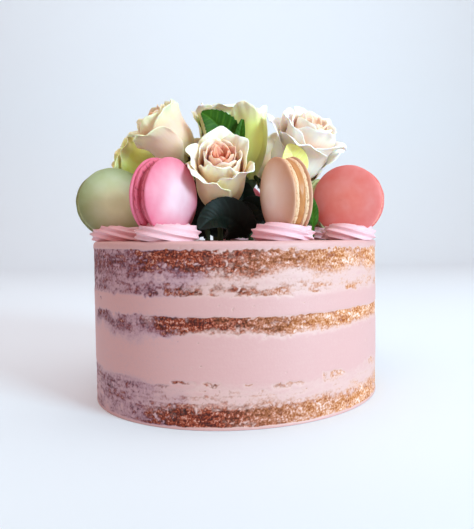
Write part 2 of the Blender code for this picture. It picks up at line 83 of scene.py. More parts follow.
def new_material(name, **values):
    """A material with constant values set on the sockets of its Principled shader."""
    made = bpy.data.materials.new(name)
    made.use_nodes = True
    shader = made.node_tree.nodes["Principled BSDF"]
    for socket, value in values.items():
        shader.inputs[socket.replace("_", " ")].default_value = value
    return made


def add_node(material, kind, sockets=None, stops=(), **settings):
    """Outputs of a new shader node.

    sockets maps input names or numbers to a value, a hex colour or another node's output. stops
    are the (position, hex colour) stops of a colour ramp.
    """
    node = material.node_tree.nodes.new(kind)
    for setting, value in settings.items():
        setattr(node, setting, value)
    for key, value in (sockets or {}).items():
        if isinstance(value, bpy.types.NodeSocket):
            material.node_tree.links.new(value, node.inputs[key])
        else:
            node.inputs[key].default_value = linear(value) if isinstance(value, str) else value
    elements = node.color_ramp.elements if stops else ()
    while len(elements) < len(stops):
        elements.new(0.5)
    for element, (position, hex_colour) in zip(elements, stops):
        element.position = position
        element.color = linear(hex_colour)
    return node.outputs


def feed_shader(material, **outputs):
    """Link outputs to the sockets of the material's Principled shader."""
    shader = material.node_tree.nodes["Principled BSDF"]
    for socket, output in outputs.items():
        material.node_tree.links.new(output, shader.inputs[socket.replace("_", " ")])


print("the mid grey 808080 is", round(linear("808080")[0], 3), "in linear light")

# %% [markdown]
# ## Helpers for surfaces
#
# A surface is a grid of points, with rows along one parameter and columns along the other. A
# grid whose last column joins its first is a tube, and closing both ends of a tube with a pole
# makes a sound solid. Numpy works out the whole grid at once.


# %% Grid helpers
def smoothstep(low, high, values):
    """0 below low, 1 above high and the smooth curve 3t^2 - 2t^3 between."""
    t = np.clip((values - low) / (high - low), 0.0, 1.0)
    return t * t * (3.0 - 2.0 * t)


def sheet_faces(rows, columns, first=0):
    """Four-sided faces of an open grid of points, numbered from first."""
    index = np.arange(rows * columns).reshape(rows, columns) + first
    corners = [index[:-1, :-1], index[:-1, 1:], index[1:, 1:], index[1:, :-1]]
    return np.stack(corners, -1).reshape(-1, 4)


def closed_surface(rings, low_pole, high_pole, first=0):
    """Points and faces of a closed solid: rings of points (rows, columns, 3) between two poles.

    The columns run anticlockwise seen from above while the rows rise, so the faces point outwards.
    """
    rows, columns = rings.shape[:2]
    index = np.arange(rows * columns).reshape(rows, columns) + first
    after = np.roll(index, -1, axis=1)
    wall = np.stack([index[:-1], after[:-1], after[1:], index[1:]], -1).reshape(-1, 4)
    low, high = first + rows * columns, first + rows * columns + 1
    foot = np.stack([after[0], index[0], np.full(columns, low)], -1)
    head = np.stack([index[-1], after[-1], np.full(columns, high)], -1)
    points = np.concatenate([rings.reshape(-1, 3), [low_pole, high_pole]])
    return points, wall.tolist() + foot.tolist() + head.tolist()


print("a sheet of 3 by 4 points has", len(sheet_faces(3, 4)), "faces")

# %% [markdown]
# ### From points to a piece
#
# Every piece is made the same way: its points go to metres, its values go to the points of the
# mesh, and it is shaded smooth except along the rings that are real edges. It then takes the
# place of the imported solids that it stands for.


# %% Piece helpers
def crease(mesh, rings):
    """Keep the edges along the given point rings sharp; each ring is a range of point numbers."""
    ends = np.zeros(2 * len(mesh.edges), dtype=np.int32)
    mesh.edges.foreach_get("vertices", ends)
    ends = ends.reshape(-1, 2)
    sharp = np.zeros(len(ends), dtype=bool)
    for low, high in rings:
        sharp |= ((ends >= low) & (ends < high)).all(axis=1)
    mesh.attributes.new("sharp_edge", "BOOLEAN", "EDGE").data.foreach_set("value", sharp)


def add_piece(name, points, faces, material, nodes, values=None, solidify=None, creases=()):
    """A smooth-shaded piece from points in mm, with values on its points; it replaces CAD nodes."""
    mesh = bpy.data.meshes.new(name)
    mesh.from_pydata((np.asarray(points) * MM).tolist(), [], faces)
    for key, data in (values or {}).items():
        layer = mesh.attributes.new(key, "FLOAT", "POINT")
        layer.data.foreach_set("value", np.asarray(data, dtype=np.float32).ravel())
    mesh.shade_smooth()
    crease(mesh, creases)
    mesh.materials.append(material)
    piece = bpy.data.objects.new(name, mesh)
    bpy.context.scene.collection.objects.link(piece)
    if solidify:
        shell = piece.modifiers.new("thickness", "SOLIDIFY")
        shell.thickness = solidify * MM
        shell.offset = 0.0
    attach(piece, "root")
    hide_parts(*nodes)
    return piece


print("points in mm are scaled by", MM, "to metres")

# %% [markdown]
# ## Random relief with a real size
#
# Torn sponge, piped cream and wavy petals all need relief that is uneven but has a known size.
# Two recipes are enough. Hills blend random numbers that stand on a lattice, and lumps measure
# the distance to scattered points, which gives round crumbs with crevices between them. Both
# can repeat after one turn, so that the pattern meets itself round a cake.

# %% Hills and lumps
TABLE = 512


def lattice(seed, u, v, cell_u, cell_v, turn):
    """Lattice positions of u and v, the number of columns before u repeats, and a generator."""
    columns = TABLE if turn is None else max(3, round(turn / cell_u))
    pace = 1.0 / cell_u if turn is None else columns / turn
    x, y = np.broadcast_arrays(u * pace, v / cell_v)
    return x, y, columns, np.random.default_rng(seed)


def hills(seed, u, v, cell_u, cell_v, turn=None):
    """Smooth random hills from -1 to 1: lattice values blended by 3t^2 - 2t^3 along u and v."""
    x, y, columns, rng = lattice(seed, u, v, cell_u, cell_v, turn)
    table = rng.uniform(-1.0, 1.0, (columns, TABLE))
    i, j = np.floor(x).astype(int), np.floor(y).astype(int)
    a, b = smoothstep(0.0, 1.0, x - i), smoothstep(0.0, 1.0, y - j)
    left, right, low, high = i % columns, (i + 1) % columns, j % TABLE, (j + 1) % TABLE
    near = table[left, low] * (1 - a) + table[right, low] * a
    far = table[left, high] * (1 - a) + table[right, high] * a
    return near * (1 - b) + far * b


def lumps(seed, u, v, size, turn=None):
    """Round lumps: 1 less the distance, in cells of the given size, to the nearest random point."""
    x, y, columns, rng = lattice(seed, u, v, size, size, turn)
    scatter = rng.uniform(0.0, 1.0, (columns, TABLE, 2))
    i, j = np.floor(x).astype(int), np.floor(y).astype(int)
    nearest = np.ones_like(x)
    for di in (-1, 0, 1):
        for dj in (-1, 0, 1):
            point = scatter[(i + di) % columns, (j + dj) % TABLE]
            gap = np.hypot(i + di + point[..., 0] - x, j + dj + point[..., 1] - y)
            nearest = np.minimum(nearest, gap)
    return 1.0 - nearest


print("hills reach", round(float(hills(1, np.arange(0.0, 40.0, 0.1), 0.0, 1.0, 1.0).max()), 2))

# %% [markdown]
# ## The scraped side
#
# The side is described once, for the whole cake, as two heights over each spot: how far the
# torn crumb stands out, and the level down to which the scraper took the icing. Whichever is
# higher is the surface. Icing lies where the level is above the crumb, and its thickness there
# decides whether the crumb shows through. Full icing, a veil of it and bare crumb are the three
# levels. The steps between them are drawn at half their depth, because the scraper presses the
# crumb flat as it passes.

# %% Sizes of the cake in mm
CAKE_RADIUS = 89.0
CAKE_TURN = 2.0 * math.pi * CAKE_RADIUS
CRUMB_RADIUS = 88.15
LAYERS = {"bottom": (0.0, 25.0), "middle": (33.0, 58.0), "top": (66.0, 91.0)}
FILLINGS = {"lower": (25.0, 33.0), "upper": (58.0, 66.0)}
CAP_LOW = 91.0
CAKE_TOP = 95.0
FULL, VEIL, BARE = 0.84, 0.50, -0.34
STEP_SHARE = 0.5
print("the cake is", 2 * CAKE_RADIUS, "mm across and", CAKE_TOP, "mm high")

# %% [markdown]
# ### Torn crumb
#
# Sponge tears along its air bubbles, which leaves flat crumbs about a millimetre wide and
# pockets between them. A lattice of random numbers would show its rows on so large a side, so
# the spots at which it is read are moved about first.

# %% Relief of the crumb
CRUMB_SIZE = 1.2
CRUMB_FLATNESS = 1.25
CRUMB_LIMIT = 0.72


def side_hills(seed, u, z, cell_u, cell_z):
    """Hills on the side of the cake, which repeat after one turn."""
    return hills(seed, u, z, cell_u, cell_z, CAKE_TURN)


def bent(u, z):
    """The same spots moved by up to a millimetre, which hides the rows of a lattice."""
    bent_u = u + 0.9 * side_hills(15, u, z, 1.9, 1.5) + 0.5 * side_hills(17, u, z, 0.9, 0.9)
    bent_z = z + 0.7 * side_hills(16, u, z, 1.9, 1.5) + 0.4 * side_hills(18, u, z, 0.9, 0.9)
    return bent_u, bent_z


def crumb_height(u, z):
    """Torn crumb in mm about its mean: bent lumps and rough hills, less air pockets."""
    bent_u, bent_z = bent(u, z)
    relief = 0.34 * (lumps(11, bent_u, bent_z * CRUMB_FLATNESS, CRUMB_SIZE, CAKE_TURN) - 0.55)
    relief += 0.20 * side_hills(12, u, z, 2.6, 1.4) + 0.16 * side_hills(13, u, z, 1.0, 0.9)
    pocket = smoothstep(0.45, 0.80, side_hills(14, bent_u, bent_z, 2.6, 1.5))
    return np.minimum(relief - 0.22 * pocket, CRUMB_LIMIT)


relief = crumb_height(*np.meshgrid(np.arange(0.0, 60.0, 0.3), np.arange(0.0, 25.0, 0.3)))
print("the crumb is torn", round(float(np.ptp(relief)), 1), "mm deep")

# %% [markdown]
# ### What the scraper left
#
# The bands follow the photo: bare crumb below the top edge, a thin veil under it, patches along
# the joints, a thick band low on the middle layer and bare crumb again above a narrow lip at the
# foot. Each band moves the level from full icing towards its own. Inside the band the share of
# that move is 1, and it fades at the edges over a few millimetres. Hills bend the edges, gently
# where the scraper ran along them and raggedly where crumb tore away. On the left of the view
# more icing stays, with crumb smeared in it, and the side is cleanest in front.

# %% Bands of the side, as heights in mm and degrees round the cake
TOP_VEIL = (67.4, 90.4)
TOP_BARE = (79.5, 90.6)
TOP_PATCHES = (67.4, 72.5)
MIDDLE_BARE = (48.5, 57.2)
MIDDLE_SMUDGE = (48.0, 57.2)
FOOT_VEIL_TOP = 22.0
FOOT_PATCHES = (20.5, 24.0)
FOOT_BARE_TOP = 11.0
LIP = (0.8, 1.8)
HOLE_SIZE = 9.0
LEFT_SIDE, CLEAN_SIDE = -152, -50
print("bare bands:", TOP_BARE, MIDDLE_BARE, (LIP[1], FOOT_BARE_TOP))

# %% [markdown]
# ### Soft masks
#
# Three small functions place everything on the side: one moves a level by a share, one gives the
# share of a band between two heights, and one gives the share of a stretch round the cake.


# %% Masks
def blend(base, level, share):
    """Move base towards level by a share of 0 to 1."""
    return base * (1.0 - share) + level * share


def band(z, low, high, soft_low, soft_high):
    """Share of 1 between two heights, fading over the given widths below and above."""
    above = smoothstep(low - soft_low, low + soft_low, z)
    return above * (1.0 - smoothstep(high - soft_high, high + soft_high, z))


def toward(u, degrees, inner, outer):
    """Share of 1 within inner degrees of a direction round the cake, 0 beyond outer degrees."""
    away = np.degrees(np.arccos(np.clip(np.cos(u / CAKE_RADIUS - math.radians(degrees)), -1, 1)))
    return 1.0 - smoothstep(inner, outer, away)


print("half way up a soft edge the share is", float(band(10.0, 10.0, 20.0, 2.0, 2.0)))

# %% [markdown]
# ### The level of the icing
#
# The bands are laid over each other from the top of the cake down. What a scraper leaves besides
# comes after them: flecks of icing in the bare crumb, pinholes in the thick icing, and crumb
# dragged through the thin icing, which only changes its colour.


# %% Level of the icing
def scrape_level(u, z):
    """Level in mm to which icing was left, about the crumb's mean, and how much crumb smears it.

    The level starts full and is blended towards each band's own level by that band's share.
    """
    def wave(seed, cell):
        return side_hills(seed, u, np.zeros_like(z), cell, 1.0)

    ragged = z + 0.9 * side_hills(21, u, z, 1.6, 1.6) + 0.8 * side_hills(22, u, z, 4.0, 3.0)
    straight = z + 0.40 * side_hills(23, u, z, 2.5, 2.5) + 0.6 * wave(44, 17.0)
    patchy = side_hills(24, u, z, 9.0, 3.0) + 0.5 * side_hills(25, u, z, 3.0, 2.0)
    streak = side_hills(26, u, z, 14.0, 0.9)
    bent_u, bent_z = bent(u, z)
    left = toward(u, LEFT_SIDE, 18, 40)
    clean = toward(u, CLEAN_SIDE, 32, 62)
    bare = BARE + 0.22 * patchy + 0.62 * left
    veil = VEIL - 0.12 * left + 0.15 * patchy + 0.03 * clean

    level = np.full(np.broadcast(u, z).shape, FULL)
    # Top layer: bare crumb, a veil, and patches along its lower joint
    level = blend(level, veil + 0.06 * streak, band(straight, *TOP_VEIL, 1.8, 0.5))
    level = blend(level, bare, band(ragged, TOP_BARE[0] + 2.5 * wave(31, 22.0), TOP_BARE[1], 5.0, 0.7))
    spots = smoothstep(-0.25, 0.45, patchy + 0.25 * wave(32, 30.0))
    spots = spots * band(ragged, TOP_PATCHES[0], TOP_PATCHES[1] + 1.5 * wave(33, 18.0), 1.4, 3.4)
    level = blend(level, bare + 0.1, spots)
    # Middle layer: a bare strip with a straight upper edge, smudged on the left, and thick icing
    low, high = MIDDLE_BARE
    edge = low + 1.8 * wave(35, 20.0)
    strip = smoothstep(edge - 3.4, edge + 3.4, ragged)
    strip = strip * (1.0 - smoothstep(high - 0.6, high + 0.6, straight))
    level = blend(level, bare - 0.05, strip * (1.0 - left))
    smudge = side_hills(29, bent_u, bent_z, 7.0, 12.0) + 0.5 * side_hills(45, bent_u, z, 2.6, 6.0)
    smudge = left * smoothstep(-1.0, 0.2, smudge)
    low, high = MIDDLE_SMUDGE
    smudge = smudge * band(ragged, low + 4.0 * wave(43, 9.0), high, 6.0, 0.9)
    level = blend(level, VEIL, smudge)
    # Bottom layer: crumbs along the joint, a veil, bare crumb, and a lip at the foot
    thin = band(straight, 0.0, FOOT_VEIL_TOP + 1.5 * wave(36, 25.0), 0.3, 3.6)
    level = blend(level, veil + 0.12 * streak, thin)
    spots = smoothstep(-0.2, 0.6, patchy + 0.4 * wave(37, 35.0))
    spots = spots * band(ragged, FOOT_PATCHES[0], FOOT_PATCHES[1] + 1.2 * wave(38, 30.0), 2.4, 1.4)
    level = blend(level, bare + 0.15, spots)
    torn = band(ragged, -5.0, FOOT_BARE_TOP + 2.2 * wave(39, 28.0), 0.5, 5.0)
    level = blend(level, bare + 0.25 * left, torn)
    level = blend(level, FULL, 1.0 - smoothstep(*LIP, z + 0.3 * wave(40, 6.0)))
    # Flecks of icing left in the bare crumb
    fleck = smoothstep(0.40, 0.75, side_hills(27, bent_u, bent_z, 1.4, 1.2))
    fleck = fleck * smoothstep(-0.6, 0.4, patchy)
    level = level + 0.60 * fleck * (1.0 - smoothstep(0.0, 0.3, level))
    # Pinholes that the scraper pulled in the thick icing
    hole = smoothstep(0.93, 0.97, lumps(41, bent_u, bent_z, HOLE_SIZE, CAKE_TURN))
    hole = hole * smoothstep(0.4, 0.7, side_hills(42, u, z, 13.0, 9.0))
    level = blend(level, 0.1, hole)
    # Crumb that the scraper dragged through thin icing
    crumbs = smoothstep(0.0, 1.0, side_hills(28, bent_u, bent_z, 1.5, 1.2) + 0.35 * patchy)
    smear = (0.32 * crumbs * (1.0 - 0.5 * clean) + 0.05 * left) * (1.0 - smoothstep(0.50, 0.80, level))
    smear = smear + 0.30 * smudge
    return level + 0.03 * streak, smear


spots_u, spots_z = np.meshgrid(np.linspace(0.0, CAKE_TURN, 500), np.linspace(0.0, CAP_LOW, 200))
print("mean level of the icing:", round(float(scrape_level(spots_u, spots_z)[0].mean()), 2), "mm")

# %% [markdown]
# ### The surface of the side
#
# Crumb and icing come together here. The mesh needs only one radius at each spot, and the
# material needs the thickness of the icing over the crumb and the tone of the crumb itself, which
# follows its height, so the crevices get painted shade.


# %% Surface of the side
def side_surface(u, z):
    """Radius in mm, thickness of the icing in mm, and a colour value of the crumb over the side that
    darkens its crevices.

    The radius is that of full icing less STEP_SHARE of the way down to the crumb or the scraped
    level, whichever is higher. The thickness is the level less the smears and less the crumb,
    which counts for less the more icing lies on it. The colour value is the crumb with broad hills
    added, so the crevices darken, partly as painted shade.
    """
    crumb = crumb_height(u, z)
    level, smear = scrape_level(u, z)
    depth = STEP_SHARE * (FULL - np.maximum(crumb, level))
    radius = np.minimum(CRUMB_RADIUS + FULL - depth, CAKE_RADIUS)
    shown = 1.0 - 0.45 * smoothstep(0.0, 0.4, level) - 0.40 * smoothstep(0.4, 0.8, level)
    # Partly painted shade: this value follows the crumb's height, so the material darkens the crevices
    tone_and_crevice_shade = 0.80 * crumb + 0.18 * side_hills(52, u, z, 6.0, 1.5)
    return radius, level - smear - crumb * shown, tone_and_crevice_shade


coat_there = side_surface(spots_u, spots_z)[1]
print("share of the side that is bare crumb:", round(float((coat_there < 0.0).mean()), 2))

# %% [markdown]
# ## Torn sponge under scraped buttercream
#
# Baked sponge is matte and buttercream has a soft sheen. One material covers the whole side,
# because the two change over within a millimetre. The mesh carries three values: the thickness
# of the icing, the tone of the crumb, and one value for how brown the sponge was baked together
# with painted shade. That value rises towards the side of the cake away from the key light and
# goes past 1 there, where it is painted shade only. Crevices are dark, partly as painted shade,
# and the tips of the crumb are golden. Icing thinner than about half a millimetre lets the sponge
# show through, so it is warm over golden sponge and turns mauve as painted shade on the darkest
# side. Thicker icing is plain pink. Fine noise breaks the edges.

# %% Material of the side
SPONGE_GRAIN_MM = 1.1
# From crevice to tip of the crumb; the dark crevice colours are partly painted shade
GOLDEN_SPONGE = [(0.0, "9A481A"), (0.28, "CA7A3C"), (0.54, "E2A884"), (0.80, "F2CFC4"), (1.0, "F8E0DC")]
# Darker crust; these colours also carry painted shade on the side of the cake away from the key light
BROWNED_AND_SHADED_SPONGE = [(0.0, "240A06"), (0.34, "601C0E"), (0.60, "A04426"), (0.82, "C68E7E"), (1.0, "DEB6AC")]
# From the thinnest icing to the thickest
WARM_ICING = [(0.0, "BC7A66"), (0.28, "D2A296"), (0.60, "D8B0AA"), (1.0, "D4A3A0")]
# Painted shade: thin icing takes these mauve colours on the most shaded side of the cake
PAINTED_SHADE_ICING = [(0.0, "4A2228"), (0.25, "784C60"), (0.50, "AE8690"), (0.80, "C8A0A4"), (1.0, "D4A3A0")]


def scraped_sponge():
    """Sponge coloured by its crumb, by how brown it was baked and by painted shade, covered by icing
    according to its thickness.
    """
    made = new_material("buttercream_scraped_over_sponge", Roughness=0.7)
    coat, tone_and_crevice_shade, bake_and_shade = (add_node(made, "ShaderNodeAttribute", attribute_name=key)["Fac"]
                        for key in ("coat", "crumb", "bake_and_shade"))
    place = add_node(made, "ShaderNodeTexCoord")["Object"]
    grain = add_node(made, "ShaderNodeTexNoise", {"Vector": place, "Scale": 1.0 / (SPONGE_GRAIN_MM * MM),
                                                  "Detail": 1.5})["Fac"]
    grained = add_node(made, "ShaderNodeMath", {0: grain, 1: 1.4, 2: tone_and_crevice_shade}, operation="MULTIPLY_ADD")[0]
    height = add_node(made, "ShaderNodeMapRange",
                      {"Value": grained, "From Min": 0.27, "From Max": 1.25})[0]
    # The colour follows the crumb's height, so its crevices darken, partly as painted shade
    golden = add_node(made, "ShaderNodeValToRGB", {"Fac": height}, GOLDEN_SPONGE)["Color"]
    browned_and_shaded = add_node(made, "ShaderNodeValToRGB", {"Fac": height}, BROWNED_AND_SHADED_SPONGE)["Color"]
    # The darker colours are mixed in by a value that holds both browning and painted shade
    sponge = add_node(made, "ShaderNodeMix", {0: bake_and_shade, 6: golden, 7: browned_and_shaded}, data_type="RGBA")[2]
    thick = add_node(made, "ShaderNodeMath", {0: grain, 1: 0.30, 2: coat}, operation="MULTIPLY_ADD")[0]
    warm = add_node(made, "ShaderNodeValToRGB", {"Fac": thick}, WARM_ICING)["Color"]
    shaded_mauve = add_node(made, "ShaderNodeValToRGB", {"Fac": thick}, PAINTED_SHADE_ICING)["Color"]
    # Painted shade: where the value passes 1.12 the thin icing turns mauve
    shaded = add_node(made, "ShaderNodeMapRange", {"Value": bake_and_shade, "From Min": 1.12, "From Max": 1.40})[0]
    icing = add_node(made, "ShaderNodeMix", {0: shaded, 6: warm, 7: shaded_mauve}, data_type="RGBA")[2]
    covered = add_node(made, "ShaderNodeMapRange",
                       {"Value": thick, "From Min": -0.20, "From Max": 0.58})[0]
    colour = add_node(made, "ShaderNodeMix", {0: covered, 6: sponge, 7: icing}, data_type="RGBA")[2]
    rough = add_node(made, "ShaderNodeMapRange", {"Value": covered, "To Min": 0.9, "To Max": 0.5})[0]
    relief = add_node(made, "ShaderNodeBump", {"Height": grain, "Distance": 0.08 * MM})["Normal"]
    feed_shader(made, Base_Color=colour, Roughness=rough, Normal=relief)
    return made


SIDE_FINISH = scraped_sponge()
print("made", SIDE_FINISH.name, "with", len(SIDE_FINISH.node_tree.nodes), "nodes")

# %% [markdown]
# ## Sponge layers and fillings
#
# Each layer is a drum whose side is a fine grid, 0.45 mm a step, so that the crumb is real
# relief and not only colour. Neighbouring drums read the same surface function and share the
# angle steps, so their edges meet without a gap.

# %% Drums
SIDE_STEP = 0.45
SIDE_COLUMNS = round(CAKE_TURN / SIDE_STEP)
ANGLES = np.linspace(0.0, 2.0 * math.pi, SIDE_COLUMNS, endpoint=False)
# The darkest side round the cake: partly the most browned crust, partly painted shade away from the key
# light. Values past 1, up to the limit, are painted shade only
DARK_AND_SHADED_SIDE = math.radians(-140)
BAKE_AND_SHADE_LIMIT = 1.6


def ring_points(radius, z):
    """Points at a radius and height for every angle: (r cos a, r sin a, z)."""
    radius, z = np.broadcast_arrays(radius, z)
    return np.stack([radius * np.cos(ANGLES), radius * np.sin(ANGLES), z], -1)


def bake_and_shade_share(u, z):
    """How brown the sponge is and how deep it lies in painted shade, up to a limit for the darkest side.

    The colour darkens towards one side of the cake, by the cube of how far each spot faces that
    way: partly the side of the tin that was hottest, which baked darkest, and partly painted shade
    on the side away from the key light. Past 1 the value is painted shade only. The upper layers
    are a little darker, and hills add uneven spots.
    """
    toward_dark_side = 0.5 + 0.5 * np.cos(u / CAKE_RADIUS - DARK_AND_SHADED_SIDE)
    darkening = 1.50 + 0.20 * smoothstep(60.0, 80.0, z)
    return np.clip(darkening * toward_dark_side ** 3 + 0.12 * side_hills(51, u, z, 10.0, 7.0), 0.0, BAKE_AND_SHADE_LIMIT)


def drum(name, low, high, node):
    """A layer of the cake between two heights, with side_surface as its radius and flat ends."""
    rows = round((high - low) / SIDE_STEP) + 1
    z = np.linspace(low, high, rows)[:, None] + 0.0 * ANGLES[None, :]
    u = ANGLES[None, :] * CAKE_RADIUS + 0.0 * z
    radius, coat, tone_and_crevice_shade = side_surface(u, z)
    points, faces = closed_surface(ring_points(radius, z), (0, 0, low), (0, 0, high))
    # The third value holds browning and painted shade together
    values = {"coat": coat, "crumb": tone_and_crevice_shade, "bake_and_shade": bake_and_shade_share(u, z)}
    values = {key: np.append(data.ravel(), [data[0, 0], data[-1, 0]]) for key, data in values.items()}
    count = SIDE_COLUMNS * rows
    rims = [(0, SIDE_COLUMNS), (count - SIDE_COLUMNS, count)]
    return add_piece(name, points, faces, SIDE_FINISH, [node], values, creases=rims)


for part, (low, high) in LAYERS.items():
    made = drum(f"sponge_layer_{part}", low, high, f"sponge_{part}")
    print(made.name, len(made.data.polygons), "faces")
for part, (low, high) in FILLINGS.items():
    made = drum(f"filling_band_{part}", low, high, f"filling_{part}")
    print(made.name, len(made.data.polygons), "faces")

# %% [markdown]
# ## The icing cap
#
# The top is a smoothed slab of buttercream. Its side goes on from the scraped side, and its edge
# is rounded by the palette knife and not quite even. The rows of its grid follow that section
# from the lower edge up, over the rounding and in to the middle, which lies a little lower.

# %% Cap
EDGE_RADIUS = 2.2
EDGE_DROP = 0.15
EDGE_WANDER = 0.15
TOP_DROP = 0.25


def icing_cap():
    """Cap of the cake: side, quarter-round edge and a nearly flat top.

    The edge is an arc whose radius wanders, and the wander dies out inward by its eighth power.
    """
    side_rows = np.linspace(CAP_LOW, CAKE_TOP - EDGE_RADIUS, 5)[:, None]
    u = ANGLES[None, :] * CAKE_RADIUS
    radius, coat, _ = side_surface(u + 0.0 * side_rows, side_rows + 0.0 * u)
    side = ring_points(radius, side_rows + 0.0 * u)
    uneven = EDGE_WANDER * side_hills(61, u, 0.0 * u, 9.0, 1.0)
    arc = np.radians(np.linspace(10, 90, 8))[:, None]
    rim = radius[-1:] - EDGE_RADIUS
    edge = ring_points(rim + (EDGE_RADIUS + uneven) * np.cos(arc),
                       CAKE_TOP - EDGE_DROP - EDGE_RADIUS + (EDGE_RADIUS + uneven) * np.sin(arc))
    inward = np.linspace(0.98, 0.03, 40)[:, None]
    top = ring_points(rim * inward, CAKE_TOP - TOP_DROP + uneven * inward ** 8)
    rings = np.concatenate([side, edge, top])
    points, faces = closed_surface(rings, (0, 0, CAP_LOW), (0, 0, CAKE_TOP - TOP_DROP))
    count = len(points)
    thick = np.concatenate([coat.ravel(), np.full(count - coat.size, 1.0)])
    values = {"coat": thick, "crumb": np.zeros(count), "bake_and_shade": np.zeros(count)}
    return add_piece("icing_cap", points, faces, SIDE_FINISH, ["icing_top"], values,
                     creases=[(0, SIDE_COLUMNS)])


cap = icing_cap()
print(cap.name, len(cap.data.polygons), "faces")

# %% [markdown]
# ## Piped rosettes
#
# A rosette is one rope of buttercream from a star nozzle, wound twice round from the rim to the
# middle while the bag turns. The rope is a tube along a spiral. Its section has eight sharp
# ridges, one for each point of the nozzle, with round grooves between them. The ridges twist as
# the rope goes round, and the rope thins where the piping starts and ends. Piped buttercream is
# smooth and lets light a little way in, which softens its grooves.

# %% Rosettes
ROSETTE_TURNS = 1.9
ROSETTE_REACH = 11.6
ROPE_RADIUS = 5.4
ROPE_TWIST = 62.0
ROPE_SQUASH = 0.86
NOZZLE_POINTS = 8
GROOVE_SHARE = 0.16
ROSETTES = {
    "green": (-72.0, -14.0), "pink": (-37.2, -62.5), "beige": (24.0, -65.0), "coral": (65.4, -35.0),
    "back_right": (63.0, 36.4), "back": (0.0, 71.0), "back_left": (-61.0, 41.3),
}
PIPED_FINISH = new_material("buttercream_piped", Base_Color=linear("F0C0C8"), Roughness=0.5,
                            Subsurface_Weight=0.3, Subsurface_Radius=(0.004, 0.0015, 0.0015))
print("made", PIPED_FINISH.name)

# %% [markdown]
# ### A tube along a path
#
# A profile carried along a path gives ropes, stems and sepals alike. At each point of the path
# two directions square to it hold the section, and a plain or ridged girth is laid round them.


# %% Tube
def tube(path, radius, columns=36, ridges=0, depth=0.0, twist=0.0, squash=1.0):
    """Rings of a tube along a path; t runs along it, b round it.

    The section is r (1 + depth - 2 depth |sin((ridges b + twist t) / 2)|), sharp ridges with
    round grooves between them.
    """
    ahead = np.gradient(path, axis=0)
    ahead /= np.linalg.norm(ahead, axis=1, keepdims=True)
    up = np.array([0.0, 0.0, 1.0]) if ridges else np.array([0.3, 0.2, 0.1])
    side = np.cross(ahead, up)
    side /= np.linalg.norm(side, axis=1, keepdims=True)
    over = np.cross(side, ahead)
    b = np.linspace(0.0, 2 * math.pi, columns, endpoint=False)[None, :]
    t = np.linspace(0.0, 1.0, len(path))[:, None]
    lobes = np.abs(np.sin(0.5 * (ridges * b + twist * t))) if ridges else 0.5 + 0.0 * b
    girth = np.asarray(radius).reshape(-1, 1) * (1.0 + depth - 2.0 * depth * lobes)
    rings = path[:, None, :] + (girth * np.cos(b))[..., None] * side[:, None, :]
    return rings + (squash * girth * np.sin(b))[..., None] * over[:, None, :]


straight = np.stack([np.linspace(0.0, 9.0, 10), np.zeros(10), np.zeros(10)], -1)
print("a tube has rings of", tube(straight, 1.0).shape[1], "points")

# %% [markdown]
# ### Piping
#
# The spiral starts at the rim and closes towards the middle, where the rope climbs over itself.
# The underside is pressed flat, a little into the cap, so that no gap shows below the rope.


# %% Piping
def rosette(name, centre, seed):
    """One piped rosette: a tube along a spiral that closes and climbs as it winds.

    Its reach falls by a smooth step and its rise is a line with a fading wave. A hand on the bag
    isn't steady, so a sine is added to the twist.
    """
    rng = np.random.default_rng(seed)
    t = np.linspace(0.0, 1.0, 200)
    angle = rng.uniform(0, 2 * math.pi) + 2 * math.pi * ROSETTE_TURNS * t
    reach = ROSETTE_REACH * (1.0 - 0.72 * smoothstep(0.35, 1.0, t))
    rise = CAKE_TOP + 3.4 + 0.9 * np.sin(2 * angle) * (1 - t) + 1.0 * t
    path = np.stack([centre[0] + reach * np.cos(angle), centre[1] + reach * np.sin(angle), rise], -1)
    radius = ROPE_RADIUS * (0.15 + 0.85 * smoothstep(0.0, 0.06, t)) * (1.0 - 0.75 * smoothstep(0.9, 1.0, t))
    twist = ROPE_TWIST + 5.0 * np.sin(9.0 * t[:, None])
    rings = tube(path, radius, 96, NOZZLE_POINTS, GROOVE_SHARE, twist, ROPE_SQUASH)
    points, faces = closed_surface(rings[:, ::-1], path[0], path[-1])
    points[:, 2] = np.maximum(points[:, 2], CAKE_TOP - 0.3)
    return add_piece(f"piping_{name}", points, faces, PIPED_FINISH, [f"rosette_{name}"])


for number, (name, centre) in enumerate(ROSETTES.items()):
    rosette(name, centre, 70 + number)
print("piped", len(ROSETTES), "rosettes")

# %% [markdown]
# ## Macarons
#
# A macaron is two almond meringue shells with a soft filling. The batter dries to a smooth domed
# lid, and in the oven a ruffled foot of bubbles rises below it. The lid is a superellipse turned
# round the axis. The foot is the same turned surface with lumps of about a millimetre, deepest
# halfway down. Lid and foot share one grid, and a stored value tells the material where the foot
# is, because the foot keeps a deeper colour and dark pits, which are painted shade in its hollows.

# %% Macaron sizes and places in mm and degrees, as in the imported model
SHELL_RADIUS = 20.9
SHELL_HEIGHT = 8.0
FOOT_HEIGHT = 2.5
FOOT_INSET = 1.5
BUBBLE_SIZE = 1.3
LID_ROUNDNESS = 0.70
LID_LIP = 0.9
LID_TUCK = 1.76
DOME_RISE = 2.2
SHELL_LIFT = 1.5
MACARON_COLUMNS = 180
